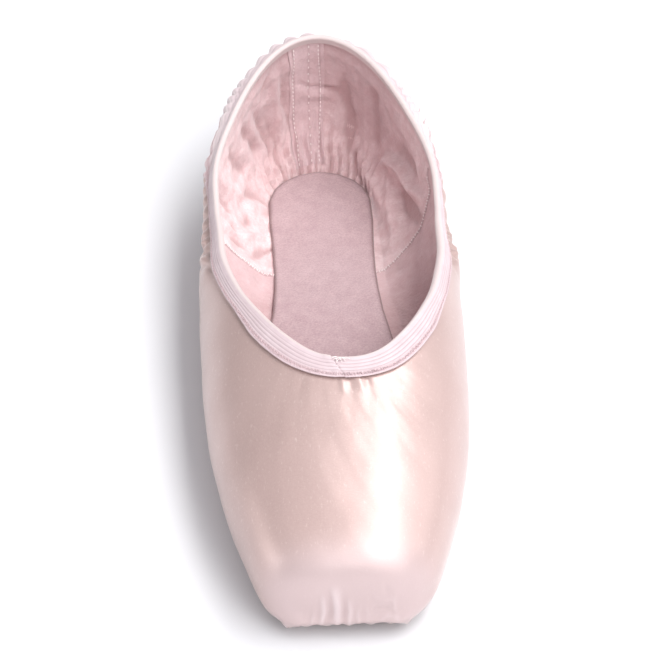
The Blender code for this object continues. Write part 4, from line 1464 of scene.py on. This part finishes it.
# %% Set the floor and the tent
mesh = bpy.data.meshes.new("floor")
mesh.from_pydata([(-3, -3, 0), (3, -3, 0), (3, 3, 0), (-3, 3, 0)], [], [(0, 1, 2, 3)])
floor = bpy.data.objects.new("floor", mesh)
bpy.context.collection.objects.link(floor)
floor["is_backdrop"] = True
paper, _, paper_shader = new_material("paper", Roughness=0.9)
paper_shader.inputs["Base Color"].default_value = (0.73, 0.73, 0.745, 1)
mesh.materials.append(paper)

world = bpy.data.worlds.new("tent")
world.use_nodes = True
tent = Nodes(world.node_tree)
sides = tent.add("SeparateXYZ", Vector=tent.add("TexCoord").outputs["Generated"]).outputs["X"]
depthwise, top = sides.node.outputs["Y"], sides.node.outputs["Z"]
brightness = tent.math("ADD", tent.range(sides, -0.9, 0.9, 0.14, 0.54), tent.range(top, 0.3, 1.0, 0.0, 0.40))
brightness = tent.math("ADD", brightness, tent.range(depthwise, 0.0, -1.0, 0.0, 0.35))
backdrop = world.node_tree.nodes["Background"]
backdrop.inputs["Color"].default_value = (0.95, 0.95, 1.0, 1)
tent.put(backdrop.inputs["Strength"], brightness)
bpy.context.scene.world = world
print("floor and tent:", floor.name, world.name)

# %% [markdown]
# ## Lights
# One long strip draws the bright band down the vamp. Soft lights from the right and the front
# fill the shade, and a low one on the left gives the satin its thin pale edge.

# %% Hang the lights
def area_light(name, where, target, width, length, power):
    light = bpy.data.lights.new(name, "AREA")
    light.shape, light.size, light.size_y = "RECTANGLE", width, length
    light.energy = power
    lamp = bpy.data.objects.new(name, light)
    bpy.context.collection.objects.link(lamp)
    back = (Vector(where) - Vector(target)).normalized()
    side = Vector((0, 1, 0)).cross(back).normalized()
    turned = Matrix((side, back.cross(side), back)).transposed().to_4x4()
    lamp.matrix_world = Matrix.Translation(where) @ turned


area_light("strip", (0.432, -0.10, 1.10), (0, -0.03, 0.03), 0.43, 2.0, 19)
area_light("right_soft", (1.3, 0.1, 0.85), (0, 0, 0.03), 1.0, 1.4, 4.5)
area_light("front_soft", (0.45, -1.25, 0.75), (0, -0.1, 0.02), 0.9, 0.8, 5)
area_light("left_edge", (-1.3, -0.2, 0.30), (0, 0, 0.03), 0.7, 1.2, 6)
print("lights:", [light.name for light in bpy.data.lights])

# %% [markdown]
# ## Camera
# The camera looks down on the toe from 41 degrees up, a little to one side of the middle, with
# a long lens. These were found by fitting the shoe's known sizes to the photograph.

# %% Place the camera
SENSOR, FOCAL_PIXELS, PHOTO_PIXELS = 36, 2798, 651
AIM = (-0.0018, 0.001, 0.02)
camera_data = bpy.data.cameras.new("camera")
camera_data.sensor_width, camera_data.lens = SENSOR, SENSOR * FOCAL_PIXELS / PHOTO_PIXELS
camera_data.clip_start = 0.05
camera = bpy.data.objects.new("camera", camera_data)
bpy.context.collection.objects.link(camera)
azimuth, elevation, distance = math.radians(-2.6), math.radians(41), 0.9
level = math.cos(elevation)
back = Vector((math.sin(azimuth) * level, -math.cos(azimuth) * level, math.sin(elevation)))
right = Vector((math.cos(azimuth), math.sin(azimuth), 0))
turned = Matrix((right, back.cross(right), back)).transposed().to_4x4()
camera.matrix_world = Matrix.Translation(Vector(AIM) + back * distance) @ turned
bpy.context.scene.camera = camera
bpy.context.scene.view_settings.view_transform = "Standard"
print("camera at", [round(v, 3) for v in camera.matrix_world.translation])

# %% Write the sizes and finish
dressed_box = [list(corner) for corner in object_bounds()]
for label, before, after in zip(("low", "high"), cad_box, dressed_box):
    print(label, "corner moved by mm:", [round(1000 * (b - a), 1) for a, b in zip(before, after)])
